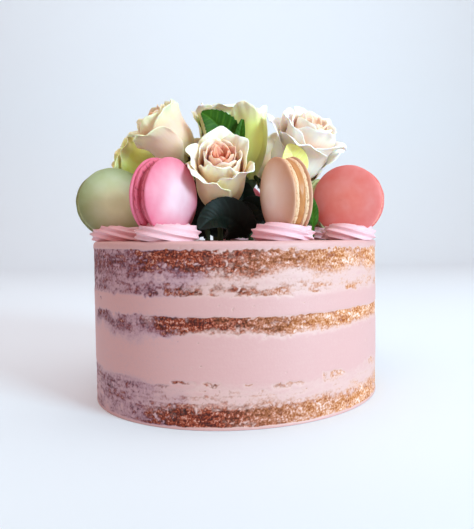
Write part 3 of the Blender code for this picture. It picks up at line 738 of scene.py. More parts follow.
# name, centre, turn, lean, radius of the filling
MACARONS = (
    ("green", (-75.6, -14.0, 118.0), 24, -3, 18.8),
    ("pink", (-38.6, -61.5, 118.3), 57, 2, 18.4),
    ("beige", (25.6, -63.0, 119.0), -68, 4, 19.8),
    ("coral", (66.5, -34.0, 118.3), -24, 0, 18.8),
    ("back_right", (64.0, 37.0, 118.6), -130, 2, 18.8),
    ("back", (0.0, 72.0, 119.0), 170, -2, 18.8),
    ("back_left", (-62.0, 42.0, 118.8), 130, 2, 18.8),
)
print("a macaron is", 2 * SHELL_RADIUS, "mm across and", 2 * (SHELL_HEIGHT + SHELL_LIFT), "mm thick")

# %% [markdown]
# ### Shell and filling
#
# The rows of a shell's grid run up the foot, out along the underside of the lid, round its rim
# and over the dome. The filling is a low disc, piped on one shell and pressed out by the other.


# %% Shell and filling
def macaron_frame(centre, turn, lean):
    """Matrix of a macaron that stands on its edge: turned about the vertical and leaned back."""
    turned = Matrix.Rotation(math.radians(turn), 4, "Z")
    return Matrix.Translation(Vector(centre)) @ turned @ Matrix.Rotation(math.radians(90 + lean), 4, "X")


def placed(points, matrix):
    """Points moved by a matrix."""
    table = np.array(matrix)
    return np.asarray(points) @ table[:3, :3].T + table[:3, 3]


def shell_rings(seed):
    """Rings of a shell from its foot up to the lid, and the values that colour each point.

    The foot's radius is its inset radius, a bulge by a power of a sine over its height, and
    lumps of two sizes that fade at both ends. The lid's radius is cos(a) to the power
    LID_ROUNDNESS and its height sin(a), with a dome of 1 - cos(a) on it. Below a = 0 the lid
    tucks in over the foot.
    """
    around = np.linspace(0.0, 2 * math.pi, MACARON_COLUMNS, endpoint=False)[None, :]
    u = around * SHELL_RADIUS
    girth = 2 * math.pi * SHELL_RADIUS
    low = np.linspace(0.0, FOOT_HEIGHT, 12)[:, None]
    bubbles = lumps(seed, u, low, BUBBLE_SIZE, girth) + 0.5 * lumps(seed + 1, u, low, 0.7, girth)
    bulge = np.sin(math.pi * np.clip(low / FOOT_HEIGHT, 0, 1)) ** 0.6
    foot = SHELL_RADIUS - FOOT_INSET + 0.35 * bulge + bulge * (0.95 * bubbles - 0.45)
    foot = foot + 0.25 * hills(seed + 2, u, low, 5.0, 3.0, girth)
    a = np.radians(np.concatenate([np.linspace(-62, 0, 8), np.linspace(6, 84, 17), [88.0]]))[:, None]
    above, below = np.maximum(a, 0.0), np.minimum(a, 0.0)
    droop = 0.12 * hills(seed + 3, u, 0 * u, 4.0, 1.0, girth) * (1 - smoothstep(0.0, 0.8, a))
    radius = SHELL_RADIUS * np.cos(above) ** LID_ROUNDNESS - LID_TUCK * (1.0 - np.cos(below)) + droop
    height = FOOT_HEIGHT + LID_LIP + (SHELL_HEIGHT - FOOT_HEIGHT - LID_LIP - DOME_RISE) * np.sin(above)
    height = height + 0.95 * np.sin(below) + DOME_RISE * (1.0 - np.cos(above))
    height = height + 0.06 * hills(seed + 4, u, a * 12.0, 12.0, 4.0, girth) + 0.0 * u
    rows = np.concatenate([foot + 0.0 * u, radius + 0.0 * u])
    z = np.concatenate([low + 0.0 * u, height])
    rings = np.stack([rows * np.cos(around), rows * np.sin(around), z], -1)
    is_foot = np.concatenate([np.ones_like(foot), np.zeros_like(height)])
    pits = np.concatenate([bubbles, np.ones_like(height)])
    return rings, {"is_foot": is_foot, "pits": pits, "outward": rows / SHELL_RADIUS}


def cream_rings(rim, seed):
    """Rings of the filling: a disc whose edge bulges by half an ellipse and wanders a little."""
    around = np.linspace(0.0, 2 * math.pi, MACARON_COLUMNS, endpoint=False)[None, :]
    z = np.linspace(-SHELL_LIFT - 0.25, SHELL_LIFT + 0.25, 11)[:, None]
    wander = 0.35 * hills(seed, around * rim, z, 3.5, 2.0, 2 * math.pi * rim)
    radius = rim - 0.4 + 0.5 * np.sqrt(np.clip(1 - (z / (SHELL_LIFT + 0.3)) ** 2, 0, 1)) + wander
    return np.stack([radius * np.cos(around), radius * np.sin(around), z + 0.0 * radius], -1)


print("a shell has", len(shell_rings(100)[0]), "rings of", MACARON_COLUMNS, "points")

# %% [markdown]
# ### Macaron colours
#
# Baked almond meringue is matte and finely speckled. The lid is pale in its middle and deeper in
# colour towards its rim, where it curves away: partly the dried meringue's own colour, partly a
# painted highlight in the middle and painted shade at the rim. The foot has dark pits between its
# bubbles, which are painted shade in its hollows. The filling is ganache, smoother than the shells.

# %% Macaron finishes
# name: lid, rim of the lid, foot, pits of the foot, filling. The pale lid and deeper rim are partly painted
# highlight and shade, and the pit colours are painted shade
MACARON_COLOURS = {
    # The green's dark rim colour is painted shade, chosen for the shadow that the pink macaron casts on its
    # lower side
    "green": ("E0E2B2", "80864C", "A9AA74", "6E6A3C", "A98E5A"),
    "pink": ("E6BCC8", "D65A78", "DC647C", "8A2038", "B03A50"),
    "beige": ("FEE8D6", "CC9270", "EAC09A", "A06838", "BC7840"),
    "coral": ("E07266", "D8605A", "E9907F", "A04A40", "D98A74"),
}
SHARED_COLOURS = {"back_right": "green", "back": "pink", "back_left": "beige"}
SPECKLE_MM, CLOUD_MM = 1.4, 9.0


def macaron_finish(name, lid, rim, foot, pit_shade):
    """Baked almond meringue: a matte speckled lid, pale in the middle and deeper at the rim, partly as
    painted highlight and shade, and a rough foot with pits darkened as painted shade.
    """
    made = new_material(f"meringue_baked_{name}", Roughness=0.55, Subsurface_Weight=0.08,
                        Subsurface_Radius=(0.002, 0.001, 0.001))
    is_foot, pits, outward = (add_node(made, "ShaderNodeAttribute", attribute_name=key)["Fac"]
                              for key in ("is_foot", "pits", "outward"))
    place = add_node(made, "ShaderNodeTexCoord")["Object"]
    grain, cloud = (add_node(made, "ShaderNodeTexNoise", {"Vector": place, "Scale": 1.0 / (size * MM),
                                                          "Detail": detail})["Fac"]
                    for size, detail in ((SPECKLE_MM, 3.0), (CLOUD_MM, 2.0)))
    # Painted shade: the foot darkens to the pit colour in the hollows between its bubbles
    rough = add_node(made, "ShaderNodeValToRGB", {"Fac": pits}, [(0.25, pit_shade), (0.75, foot)])["Color"]
    # Partly painted light and shade: the lid is pale in its middle and deeper towards its rim
    smooth = add_node(made, "ShaderNodeValToRGB", {"Fac": outward}, [(0.3, lid), (0.95, rim)])["Color"]
    uneven = add_node(made, "ShaderNodeValToRGB", {"Fac": cloud}, [(0.3, foot), (0.7, "FFFFFF")])["Color"]
    smooth = add_node(made, "ShaderNodeMix", {0: 0.10, 6: smooth, 7: uneven}, data_type="RGBA")[2]
    colour = add_node(made, "ShaderNodeMix", {0: is_foot, 6: smooth, 7: rough}, data_type="RGBA")[2]
    relief = add_node(made, "ShaderNodeBump", {"Height": grain, "Distance": 0.05 * MM})["Normal"]
    feed_shader(made, Base_Color=colour, Normal=relief)
    return made


finishes = {name: macaron_finish(name, *hexes[:4]) for name, hexes in MACARON_COLOURS.items()}
fillings = {name: new_material(f"ganache_{name}", Base_Color=linear(hexes[4]), Roughness=0.45)
            for name, hexes in MACARON_COLOURS.items()}
print("made", len(finishes), "meringues and", len(fillings), "fillings")

# %% [markdown]
# ### Macarons on edge
#
# A shell is worked out lying on its flat side. It is lifted by half the filling, turned over for
# the rear one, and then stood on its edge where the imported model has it. The three pieces of a
# macaron share one matrix, so they stay together.

# %% Macarons on edge
for number, (name, centre, turn, lean, rim) in enumerate(MACARONS):
    colour = SHARED_COLOURS.get(name, name)
    matrix = macaron_frame(centre, turn, lean)
    for side, flip in (("front", 0.0), ("rear", math.pi)):
        rings, values = shell_rings(100 + 20 * number + (10 if flip else 0))
        points, faces = closed_surface(rings, (0, 0, 0), (0, 0, SHELL_HEIGHT))
        points = placed(points + np.array([0.0, 0.0, SHELL_LIFT]), matrix @ Matrix.Rotation(flip, 4, "X"))
        values = {key: np.append(data.ravel(), [data[0, 0], data[-1, 0]]) for key, data in values.items()}
        add_piece(f"macaron_shell_{name}_{side}", points, faces, finishes[colour],
                  [f"macaron_{name}_{side}"], values)
    half = SHELL_LIFT + 0.25
    points, faces = closed_surface(cream_rings(rim, 300 + number), (0, 0, -half), (0, 0, half))
    add_piece(f"macaron_filling_{name}", placed(points, matrix), faces, fillings[colour],
              [f"macaron_{name}_cream"])
print("baked", len(MACARONS), "macarons")

# %% [markdown]
# ## Roses
#
# A rose is petals on a spiral, each a golden angle on from the last, so that no two stand above
# each other. The heart's petals are narrow and rolled shut, and the later ones are wider and
# turn out at the rim. One formula gives every petal from its age, which is 0 at the heart and 1
# at the outermost. Its middle line rises as a bowl and then leans in or turns out, and its width
# is an arc about the axis that drifts outward, so that each petal laps over the next. The
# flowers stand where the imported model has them. The front rose leans further and is more open,
# so that its heart shows, and the top one is 2 mm shorter, because its frills reach higher.

# %% Places of the roses in mm and degrees
# name: base, tilt, heading, radius, length, openness, turn, foot of the stem
ROSES = {
    "front": ((-10.9, -22.9, 115.6), 52, 274, 14.2, 50, 0.50, 310, (-11.0, -18.0)),
    "left": ((-31.5, -4.0, 146.0), 42, 204, 14.4, 39, 0.46, 20, (-20.0, 2.0)),
    "top": ((-9.1, 20.9, 157.2), 6, 259, 17.2, 37.2, 0.55, 150, (-7.0, 18.0)),
    "right": ((33.0, -12.0, 135.0), 38, 308, 17.5, 44, 0.70, 215, (24.0, -6.0)),
    "centre": ((8.0, -10.0, 133.0), 4, 300, 10.5, 46, 0.15, 300, (8.0, -8.0)),
    "low_left": ((-50.5, 14.5, 138.5), 70, 181, 12.7, 34, 0.72, 115, (-38.0, 16.0)),
    "back_left": ((-24.0, 37.0, 128.0), 38, 118, 18.5, 41, 0.55, 70, (-16.0, 30.0)),
    "back_right": ((25.0, 30.0, 130.0), 38, 58, 18.5, 41, 0.55, 190, (17.0, 25.0)),
}
# name: shares of the length that the heart's and the outermost petals have, lean of the closed
# petals and turn of the open ones in degrees
FORMS = {
    "front": (0.90, 0.97, 12, 58), "left": (0.88, 1.02, 18, 70), "top": (0.66, 1.02, 16, 96),
    "right": (0.90, 1.02, 14, 105), "centre": (0.84, 1.02, 22, 40), "low_left": (0.86, 1.02, 14, 105),
    "back_left": (0.86, 1.02, 14, 85), "back_right": (0.86, 1.02, 14, 85),
}
PETALS = 22
PETAL_ROOT = 2.5
PETAL_GRID = 25
PETAL_THICKNESS = 0.34
GOLDEN_ANGLE = math.radians(137.508)
LINE_STEPS = 240
print("each of", len(ROSES), "roses has", PETALS, "petals")

# %% [markdown]
# ### The middle line of a petal
#
# Seen from the side a petal is one line that swells out to the belly, stands upright there, and
# either closes over the heart or rolls out. Its heading is given at every step of its length,
# and adding up the steps gives its course.


# %% Middle line
def rose_frame(base, tilt, heading):
    """Matrix of a flower whose axis leans from upright toward a heading."""
    turned = Matrix.Rotation(math.radians(heading), 4, "Z") @ Matrix.Rotation(math.radians(tilt), 4, "Y")
    return Matrix.Translation(Vector(base)) @ turned


def centre_line(length, belly, bowl, lean, turn_out):
    """Distance from the axis and height along a petal's middle, at even steps of its length.

    The heading falls evenly to upright at the bowl's share of the length, then leans in by
    lean and turns out by turn_out. The heading at the root is the one with which the bowl ends
    a belly away from the axis.
    """
    table = np.linspace(0.01, 1.7, 80)
    start = np.interp((belly - PETAL_ROOT) / (length * bowl), (1.0 - np.cos(table)) / table, table)
    steps = np.linspace(0.0, 1.1, LINE_STEPS)
    above = np.clip((steps - bowl) / (1.0 - bowl), 0.0, 1.3)
    rise = (turn_out + lean) * above ** 2 - lean * np.sin(0.5 * math.pi * np.minimum(above * 1.6, 1.0))
    heading = np.where(steps < bowl, start * (1.0 - steps / bowl), rise)
    pace = length * (steps[1] - steps[0])
    out = PETAL_ROOT + np.concatenate([[0.0], np.cumsum(np.sin(heading[:-1]) * pace)])
    up = np.concatenate([[0.0], np.cumsum(np.cos(heading[:-1]) * pace)])
    return steps, out, up, heading


steps, out, up, heading = centre_line(44.0, 17.5, 0.5, 0.0, math.radians(105))
print("an open petal of 44 mm ends", round(float(np.interp(1.0, steps, out)), 1), "mm from the axis")

# %% [markdown]
# ### One petal
#
# A petal is wide and flat when it has opened, and rolled round the heart while it is closed. Its
# edge is rounded with a small point in the middle. Slow ripples run in from the edge, finer
# frills stay near the rim, and the side edges curl over, all the more the more it has opened.


# %% Petal
def petal(radius, length, age, openness, angle, seed, heart, outer, lean, flare):
    """Grid of points of one petal in its flower's frame, with its share of the length.

    A point is found by its share of the length, which picks its distance from the axis and its
    height on the middle line. Across the petal it lies on an arc, at a bend that grows with the
    share, on a circle of the belly's radius that flattens as the petal opens. Ripples, curls
    and frills are added square to the middle line.
    """
    phase = np.random.default_rng(seed).uniform(0.0, 2 * math.pi, 5)
    opened = float(smoothstep(1.0 - openness, 1.0, age))
    belly = radius * (0.17 + 0.83 * age ** 0.9)
    reach = length * (heart + (outer - heart) * age + 0.025 * math.sin(phase[0]))
    closed = (1.0 - opened) * belly / radius
    turn_out = math.radians(flare) * opened ** 1.5 - math.radians(0.4 * lean) * closed
    bowl = 0.66 - 0.16 * opened
    steps, out, up, heading = centre_line(reach, belly, bowl, math.radians(lean) * closed, turn_out)

    across = np.linspace(-1.0, 1.0, PETAL_GRID)[None, :]
    along = np.linspace(0.0, 1.0, PETAL_GRID)[:, None]
    edge = 1.0 - (0.20 + 0.06 * opened) * np.abs(across) ** 2.4 + 0.012 * np.sin(7 * across + phase[3])
    share = along * (edge + 0.035 * opened * np.exp(-(across / 0.2) ** 2))
    rho, height, head = (np.interp(share, steps, table) for table in (out, up, heading))

    flat = 1.0 + 0.45 * opened * smoothstep(0.50, 0.95, share)
    spread = 0.30 + 0.70 * smoothstep(0.0, 0.55, share)
    spread = spread * (1.0 + 0.12 * opened * smoothstep(0.6, 1.0, share))
    bend = across * (1.30 - 0.10 * opened) / flat * spread
    bow = np.minimum(rho, belly) * flat
    drift = 0.055 * radius * bend * smoothstep(0.05, 0.45, share)
    radial = rho - bow + bow * np.cos(bend) + drift
    side = bow * np.sin(bend)

    free = smoothstep(0.45, 1.0, share)
    ripple = np.sin(4.5 * across + phase[1]) + 0.5 * np.sin(9.0 * across + phase[2])
    curl = 0.05 * reach * opened * np.abs(across) ** 3 * free
    curl = curl + reach * (0.003 + 0.020 * opened) * ripple * free ** 2
    frill = np.sin(11 * across + phase[4]) + 0.6 * np.sin(17 * across + 2 * phase[0])
    curl = curl + (0.15 + 0.75 * opened) * frill * smoothstep(0.74, 1.0, along)
    curl = curl + 0.9 * (1.0 - opened) * smoothstep(0.84, 1.0, along)
    radial = radial + curl * np.cos(head)
    height = height - curl * np.sin(head) * 0.7
    x = radial * math.cos(angle) - side * math.sin(angle)
    y = radial * math.sin(angle) + side * math.cos(angle)
    return np.stack([x, y, height], -1), share


sample, _ = petal(17.5, 44.0, 1.0, 0.70, 0.0, 1, *FORMS["right"])
print("an outer petal is", round(float(np.ptp(sample[..., 1])), 1), "mm wide")

# %% [markdown]
# ### Petal colour
#
# A petal is a thin sheet full of water, so light passes through it and the folds glow, which a
# little subsurface scattering gives. Deep in the heart the colour turns bright and saturated,
# partly the rose's own deeper colour and partly a painted glow. Each rose has its own tint, and
# within a rose the heart is warmer than the outer petals, whose rims are the palest. All of them
# keep some green near their base. Fine lengthwise veins are pressed into the sheet.

# %% Petal material
# name: painted glow deep in the heart, heart, middle, outer petals, rim
ROSE_TINTS = {
    "front": ("FF6A34", "FFAE8C", "FFDEB8", "FAF0C0", "FFF6E6"),
    "left": ("FF9464", "FABA94", "F6C8AC", "F8D6BE", "F2F2CE"),
    "top": ("F0E8A0", "F8F0C8", "F4F8D0", "E6F0A0", "FFFFEE"),
    "right": ("FF9C70", "FFD2B2", "FFF0E2", "FFFAF0", "FFFFFA"),
    "centre": ("E8DC80", "F6E8AC", "F4F69C", "F0F68E", "FEFED8"),
    "low_left": ("E8C870", "F6DFA4", "EAEC94", "DDE276", "F8F6C0"),
    "back_left": ("F08850", "F0B48A", "F4DFBA", "EEE8BE", "FAECDA"),
    "back_right": ("F08C60", "F2B592", "F8DEC6", "F4E8D2", "FBF0E8"),
}
PETAL_BASE = "A9B868"
# Radians from the middle of a petal to its side, about 2 mm from vein to vein
VEIN_WAVES = 55.0


def petal_finish(name, painted_glow, heart, middle, outer, rim):
    """Petals coloured by age and by distance along them, with a painted glow deep in the heart and faint
    lengthwise veins.
    """
    made = new_material(f"rose_petal_{name}", Roughness=0.5, Subsurface_Weight=0.75,
                        Subsurface_Radius=(0.005, 0.004, 0.002))
    age, along, across = (add_node(made, "ShaderNodeAttribute", attribute_name=key)["Fac"]
                          for key in ("age", "along", "across"))
    body = add_node(made, "ShaderNodeValToRGB", {"Fac": age},
                    [(0.0, heart), (0.45, heart), (0.75, middle), (1.0, outer)])["Color"]
    # Partly painted glow: deep in the heart the petals take the bright saturated colour
    depth = add_node(made, "ShaderNodeValToRGB", {"Fac": age},
                     [(0.0, painted_glow), (0.6, painted_glow), (0.85, middle), (1.0, outer)])["Color"]
    shallow = add_node(made, "ShaderNodeMapRange", {"Value": along, "From Min": 0.5, "From Max": 0.9})[0]
    body = add_node(made, "ShaderNodeMix", {0: shallow, 6: depth, 7: body}, data_type="RGBA")[2]
    near_rim = add_node(made, "ShaderNodeMapRange", {"Value": along, "From Min": 0.72, "From Max": 0.96})[0]
    grown = add_node(made, "ShaderNodeMapRange", {"Value": age, "From Min": 0.15, "From Max": 0.8,
                                                  "To Min": 0.15})[0]
    paled = add_node(made, "ShaderNodeMath", {0: near_rim, 1: grown}, operation="MULTIPLY")[0]
    tip = add_node(made, "ShaderNodeMix", {0: paled, 6: body, 7: rim}, data_type="RGBA")[2]
    green = add_node(made, "ShaderNodeMapRange", {"Value": along, "From Min": 0.15, "From Max": 0.55,
                                                  "To Min": 0.65, "To Max": 0.0})[0]
    colour = add_node(made, "ShaderNodeMix", {0: green, 6: tip, 7: PETAL_BASE}, data_type="RGBA")[2]
    veins = add_node(made, "ShaderNodeMath", {0: across, 1: VEIN_WAVES}, operation="MULTIPLY")[0]
    wave = add_node(made, "ShaderNodeMath", {0: veins}, operation="SINE")[0]
    relief = add_node(made, "ShaderNodeBump", {"Height": wave, "Distance": 0.02 * MM, "Strength": 0.4})
    feed_shader(made, Base_Color=colour, Normal=relief["Normal"])
    return made


petal_finishes = {name: petal_finish(name, *tints) for name, tints in ROSE_TINTS.items()}
print("made", len(petal_finishes), "petal colours")

# %% [markdown]
# ### Roses in bloom
#
# Real petals overlap so closely that no plain shell could stand in for them. Each petal is one
# sheet, and a thickness modifier makes it a closed solid a third of a millimetre thick, as a
# real one is. All the petals of a rose are one piece, because they share a finish.


# %% Roses in bloom
def rose_petals(name, matrix, radius, length, openness, turn):
    """All the petals of one rose as one piece, each a golden angle on and a little older."""
    sheet = sheet_faces(PETAL_GRID, PETAL_GRID)
    points, faces, along, ages = [], [], [], []
    for index in range(PETALS):
        age = index / (PETALS - 1)
        grid, share = petal(radius, length, age, openness, math.radians(turn) + index * GOLDEN_ANGLE,
                            turn * 100 + index, *FORMS[name])
        faces.append(sheet + index * PETAL_GRID ** 2)
        points.append(placed(grid.reshape(-1, 3), matrix))
        along.append(share.ravel())
        ages.append(np.full(share.size, age))
    values = {"along": np.concatenate(along), "age": np.concatenate(ages),
              "across": np.tile(np.linspace(-1, 1, PETAL_GRID), PETAL_GRID * PETALS)}
    return add_piece(f"rose_{name}_petals", np.concatenate(points), np.concatenate(faces).tolist(),
                     petal_finishes[name], [f"rose_{name}"], values, PETAL_THICKNESS)


for name, (base, tilt, heading, radius, length, openness, turn, _) in ROSES.items():
    made = rose_petals(name, rose_frame(base, tilt, heading), radius, length, openness, turn)
    print(made.name, len(made.data.polygons), "faces")

# %% [markdown]
# ## Stems, hips and sepals
#
# Below the petals a rose has a green hip, five narrow sepals folded back from it, and a stem.
# The stem is a tube along a cubic curve from the hip down to the icing, where it is pushed in.
# The hip is the same tube, swelling at its end, and a sepal is a tube pressed flat. The skin is
# smooth and matte, and its green is darkened as painted shade, because the stems stand in the
# shade under the flowers.

# %% Stems
STEM_RADIUS = 1.9
STEM_DEPTH = 0.6
SEPALS = 5
SEPAL_SQUASH = 0.16
# Painted shade: the stem green is darkened because the stems stand in the shade under the flowers
STEM_GREEN_WITH_PAINTED_SHADE = new_material("rose_stem_green_painted_shade", Base_Color=linear("24380F"), Roughness=0.6,
                            Subsurface_Weight=0.1, Subsurface_Radius=(0.002, 0.003, 0.001))


def flower_stem(name, matrix, turn, foot):
    """Stem with its hip, and five sepals, as closed tubes in one piece.

    The cubic curve starts along the flower's axis and ends upright over the foot. The girth is
    the stem's, a bell curve for the hip 3 mm down it and a slight sine. A sepal's spine goes out
    by a sine and down by a square, and its half width is a power of a sine.
    """
    start, below = np.array(matrix @ Vector((0, 0, 1.0))), np.array(matrix @ Vector((0, 0, -9.0)))
    end = np.array([*foot, CAKE_TOP + 4.3])
    bend = np.array([*foot, 0.5 * (below[2] + end[2])])
    t = np.linspace(0.0, 1.0, 40)[:, None]
    path = start * (1 - t) ** 3 + below * 3 * t * (1 - t) ** 2 + bend * 3 * t * t * (1 - t) + end * t ** 3
    path = np.concatenate([path, [[*foot, CAKE_TOP + 1.5], [*foot, CAKE_TOP - STEM_DEPTH]]])
    down = np.concatenate([[0.0], np.cumsum(np.linalg.norm(np.diff(path, axis=0), axis=1))])
    girth = STEM_RADIUS * 0.9 + 2.4 * np.exp(-((down - 3.0) / 2.6) ** 2) + 0.12 * np.sin(down * 1.3)
    tubes = [tube(path[::-1], girth[::-1], 20)]
    s = np.linspace(0.0, 1.0, 18)
    out = 3.2 + 4.2 * np.sin(1.9 * s)
    half = 0.25 + 1.9 * np.sin(math.pi * s ** 0.6) ** 0.9 * (1 - 0.3 * s)
    for index in range(SEPALS):
        angle = math.radians(turn) + index * 2 * math.pi / SEPALS
        spine = np.stack([out * math.cos(angle), out * math.sin(angle), 1.0 + 3.0 * s - 9.5 * s ** 2], -1)
        tubes.append(tube(placed(spine, matrix), half, 14, squash=SEPAL_SQUASH))
    points, faces, first = [], [], 0
    for rings in tubes:
        low, high = rings[0].mean(axis=0), rings[-1].mean(axis=0)
        solid, sides = closed_surface(rings[:, ::-1], low, high, first)
        points.append(solid)
        faces += sides
        first += len(solid)
    return add_piece(f"rose_{name}_stem", np.concatenate(points), faces, STEM_GREEN_WITH_PAINTED_SHADE,
                     [f"rose_{name}"])


for name, (base, tilt, heading, *_, turn, foot) in ROSES.items():
    flower_stem(name, rose_frame(base, tilt, heading), turn, foot)
print("grew", len(ROSES), "stems")

# %% [markdown]
# ## Rose leaves
#
# A rose leaf is a thin waxy blade, folded a little along its midrib, with saw teeth on its edge
# and side veins that run forward into them. Its middle is a curve from the foot through a bend
# to the tip. The teeth pull the outermost points of the grid in and out, the veins press fine
# channels into the face, and both follow the same spacing. A thickness modifier makes it solid.
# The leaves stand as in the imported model, but for two below the front rose that are set aside
# and made narrower to clear it.

# %% Leaves in mm
# name: foot x y, bend, tip, facing, width, share of stalk, kind
LEAVES = {
    "behind_front": ((-4, -15), (7, -24, 158), (-21, -27, 171), (0.1, -1, 0.1), 20, 0.52, "bright"),
    "small_top": ((1.5, -17.5), (-3, -25.5, 140), (3.5, -29, 167), (0, -1, 0), 5, 0.66, "bright"),
    "under_left": ((5, -41), (-6, -50, 117.5), (-20.5, -64, 101), (-0.3, -1, 0.1), 22, 0.05, "painted_shade_dark"),
    "under_right": ((-5, -34.8), (3, -38.8, 116), (12.5, -43.3, 104.5), (0.35, -1, 0), 18, 0.05, "painted_shade_dark"),
    "under_behind": ((-20.5, -12), (-28.0, -16.0, 118), (-30, -22, 133), (0.1, -1, 0), 16.5, 0.20, "painted_shade_dark"),
    "under_middle": ((1.5, -11.5), (2.6, -15.0, 116), (4.4, -18.2, 131), (0, -1, 0), 19, 0.20, "painted_shade_dark"),
    "under_far": ((5.5, -24.5), (8, -28.5, 119), (16.5, -37.5, 110), (0.1, -1, 0.1), 20, 0.15, "painted_shade_dark"),
    "inner_left": ((-26.5, 7.5), (-28, 7, 116), (-25, 5.5, 128), (0.1, -1, 0), 21, 0.02, "painted_shade_dark"),
    "inner_middle": ((-11.5, 12.5), (-12, 12.5, 118), (-9, 12, 130), (0, -1, 0), 22, 0.02, "painted_shade_dark"),
    "inner_right": ((4, 7), (4.5, 6.5, 116), (3, 5.5, 126), (0, -1, 0), 22, 0.02, "painted_shade_dark"),
    "inner_far": ((19, 12), (18, 11.5, 116), (20, 11, 126), (-0.1, -1, 0), 20, 0.02, "painted_shade_dark"),
    "right_gap": ((43.5, -40), (44.5, -42, 108), (42.5, -44, 120), (0.3, -1, 0), 5, 0.30, "bright"),
    "guard_right": ((40, -42), (36, -41, 138), (29, -44, 150), (0.1, -1, 0.2), 14, 0.50, "lime"),
    "back_right": ((21, 36), (29, 50, 117), (37, 63, 104), (0.4, 0.7, 0.8), 20, 0.20, "plain"),
    "back_left": ((-21, 40), (-27, 52, 117), (-33, 66, 104), (-0.4, 0.7, 0.8), 18, 0.20, "plain"),
    "back_middle": ((4, 36), (6, 46, 122), (10, 57, 112), (0, 0.8, 0.8), 18, 0.20, "plain"),
    "side_right": ((38, 0), (54, 0, 118), (77, -1, 105), (0.2, 0, 1), 22, 0.20, "plain"),
    "side_left": ((-42, 6), (-56, 9, 116), (-78, 13, 105), (-0.2, 0, 1), 15, 0.20, "plain"),
}
LEAF_STALK = 1.8
LEAF_CLEAR = 1.2
LEAF_THICKNESS = 0.4
LEAF_ROWS, LEAF_COLUMNS = 121, 33
TEETH = 15
SIDE_VEINS = 7
print("the posy has", len(LEAVES), "leaves")

# %% [markdown]
# ### Four kinds of leaf
#
# Young leaves near the flowers are bright, those in the shade below them are coloured nearly black
# as painted shade, and those round the back are plain. The lime one isn't a leaf but a guard
# petal, the tough outermost petal of a rose, which has neither teeth nor puffed veins. All have a
# thin wax.

# %% Kinds of leaf
# kind: blade, veins, slot
LEAF_COLOURS = {
    # Painted shade: the nearly black kind is for the leaves that stand in the shade under the flowers
    "bright": ("224E02", "4C7A1C", "leaf_green"), "painted_shade_dark": ("07100A", "12221A", "leaf_dark"),
    "plain": ("2C5520", "54743E", "leaf_green"), "lime": ("F4F48A", "FAF8B8", "petal_green"),
}
# kind: power that sets where the blade is widest, power of its outline, depth of the teeth and
# height in mm of the face between veins
LEAF_FORMS = {
    "bright": (0.75, 0.85, 0.10, 0.40), "painted_shade_dark": (0.62, 0.60, 0.03, 0.20),
    "plain": (0.75, 0.85, 0.10, 0.40), "lime": (0.75, 0.85, 0.0, 0.0),
}
LEAF_CLOUD_MM = 5.0


def leaf_finish(kind, blade, veins):
    """Waxy leaf: paler along the veins, a little uneven, with a soft gloss."""
    made = new_material(f"rose_leaf_{kind}", Roughness=0.55, Specular_IOR_Level=0.2)
    place = add_node(made, "ShaderNodeTexCoord")["Object"]
    cloud = add_node(made, "ShaderNodeTexNoise", {"Vector": place, "Scale": 1.0 / (LEAF_CLOUD_MM * MM)})
    uneven = add_node(made, "ShaderNodeValToRGB", {"Fac": cloud["Fac"]}, [(0.3, blade), (0.75, veins)])
    body = add_node(made, "ShaderNodeMix", {0: 0.25, 6: blade, 7: uneven["Color"]}, data_type="RGBA")[2]
    vein = add_node(made, "ShaderNodeAttribute", attribute_name="vein")["Fac"]
    faint = add_node(made, "ShaderNodeMath", {0: vein, 1: 0.55}, operation="MULTIPLY")[0]
    colour = add_node(made, "ShaderNodeMix", {0: faint, 6: body, 7: veins}, data_type="RGBA")[2]
    feed_shader(made, Base_Color=colour)
    return made


leaf_finishes = {kind: leaf_finish(kind, *row[:2]) for kind, row in LEAF_COLOURS.items()}
print("made", len(leaf_finishes), "leaf colours")

# %% [markdown]
# ### Leaf blades
#
# A flat cut-out would look like paper. The fold along the midrib, the sunk veins and the face
# that puffs up between them each catch the light in their own way, so all three are in the mesh.


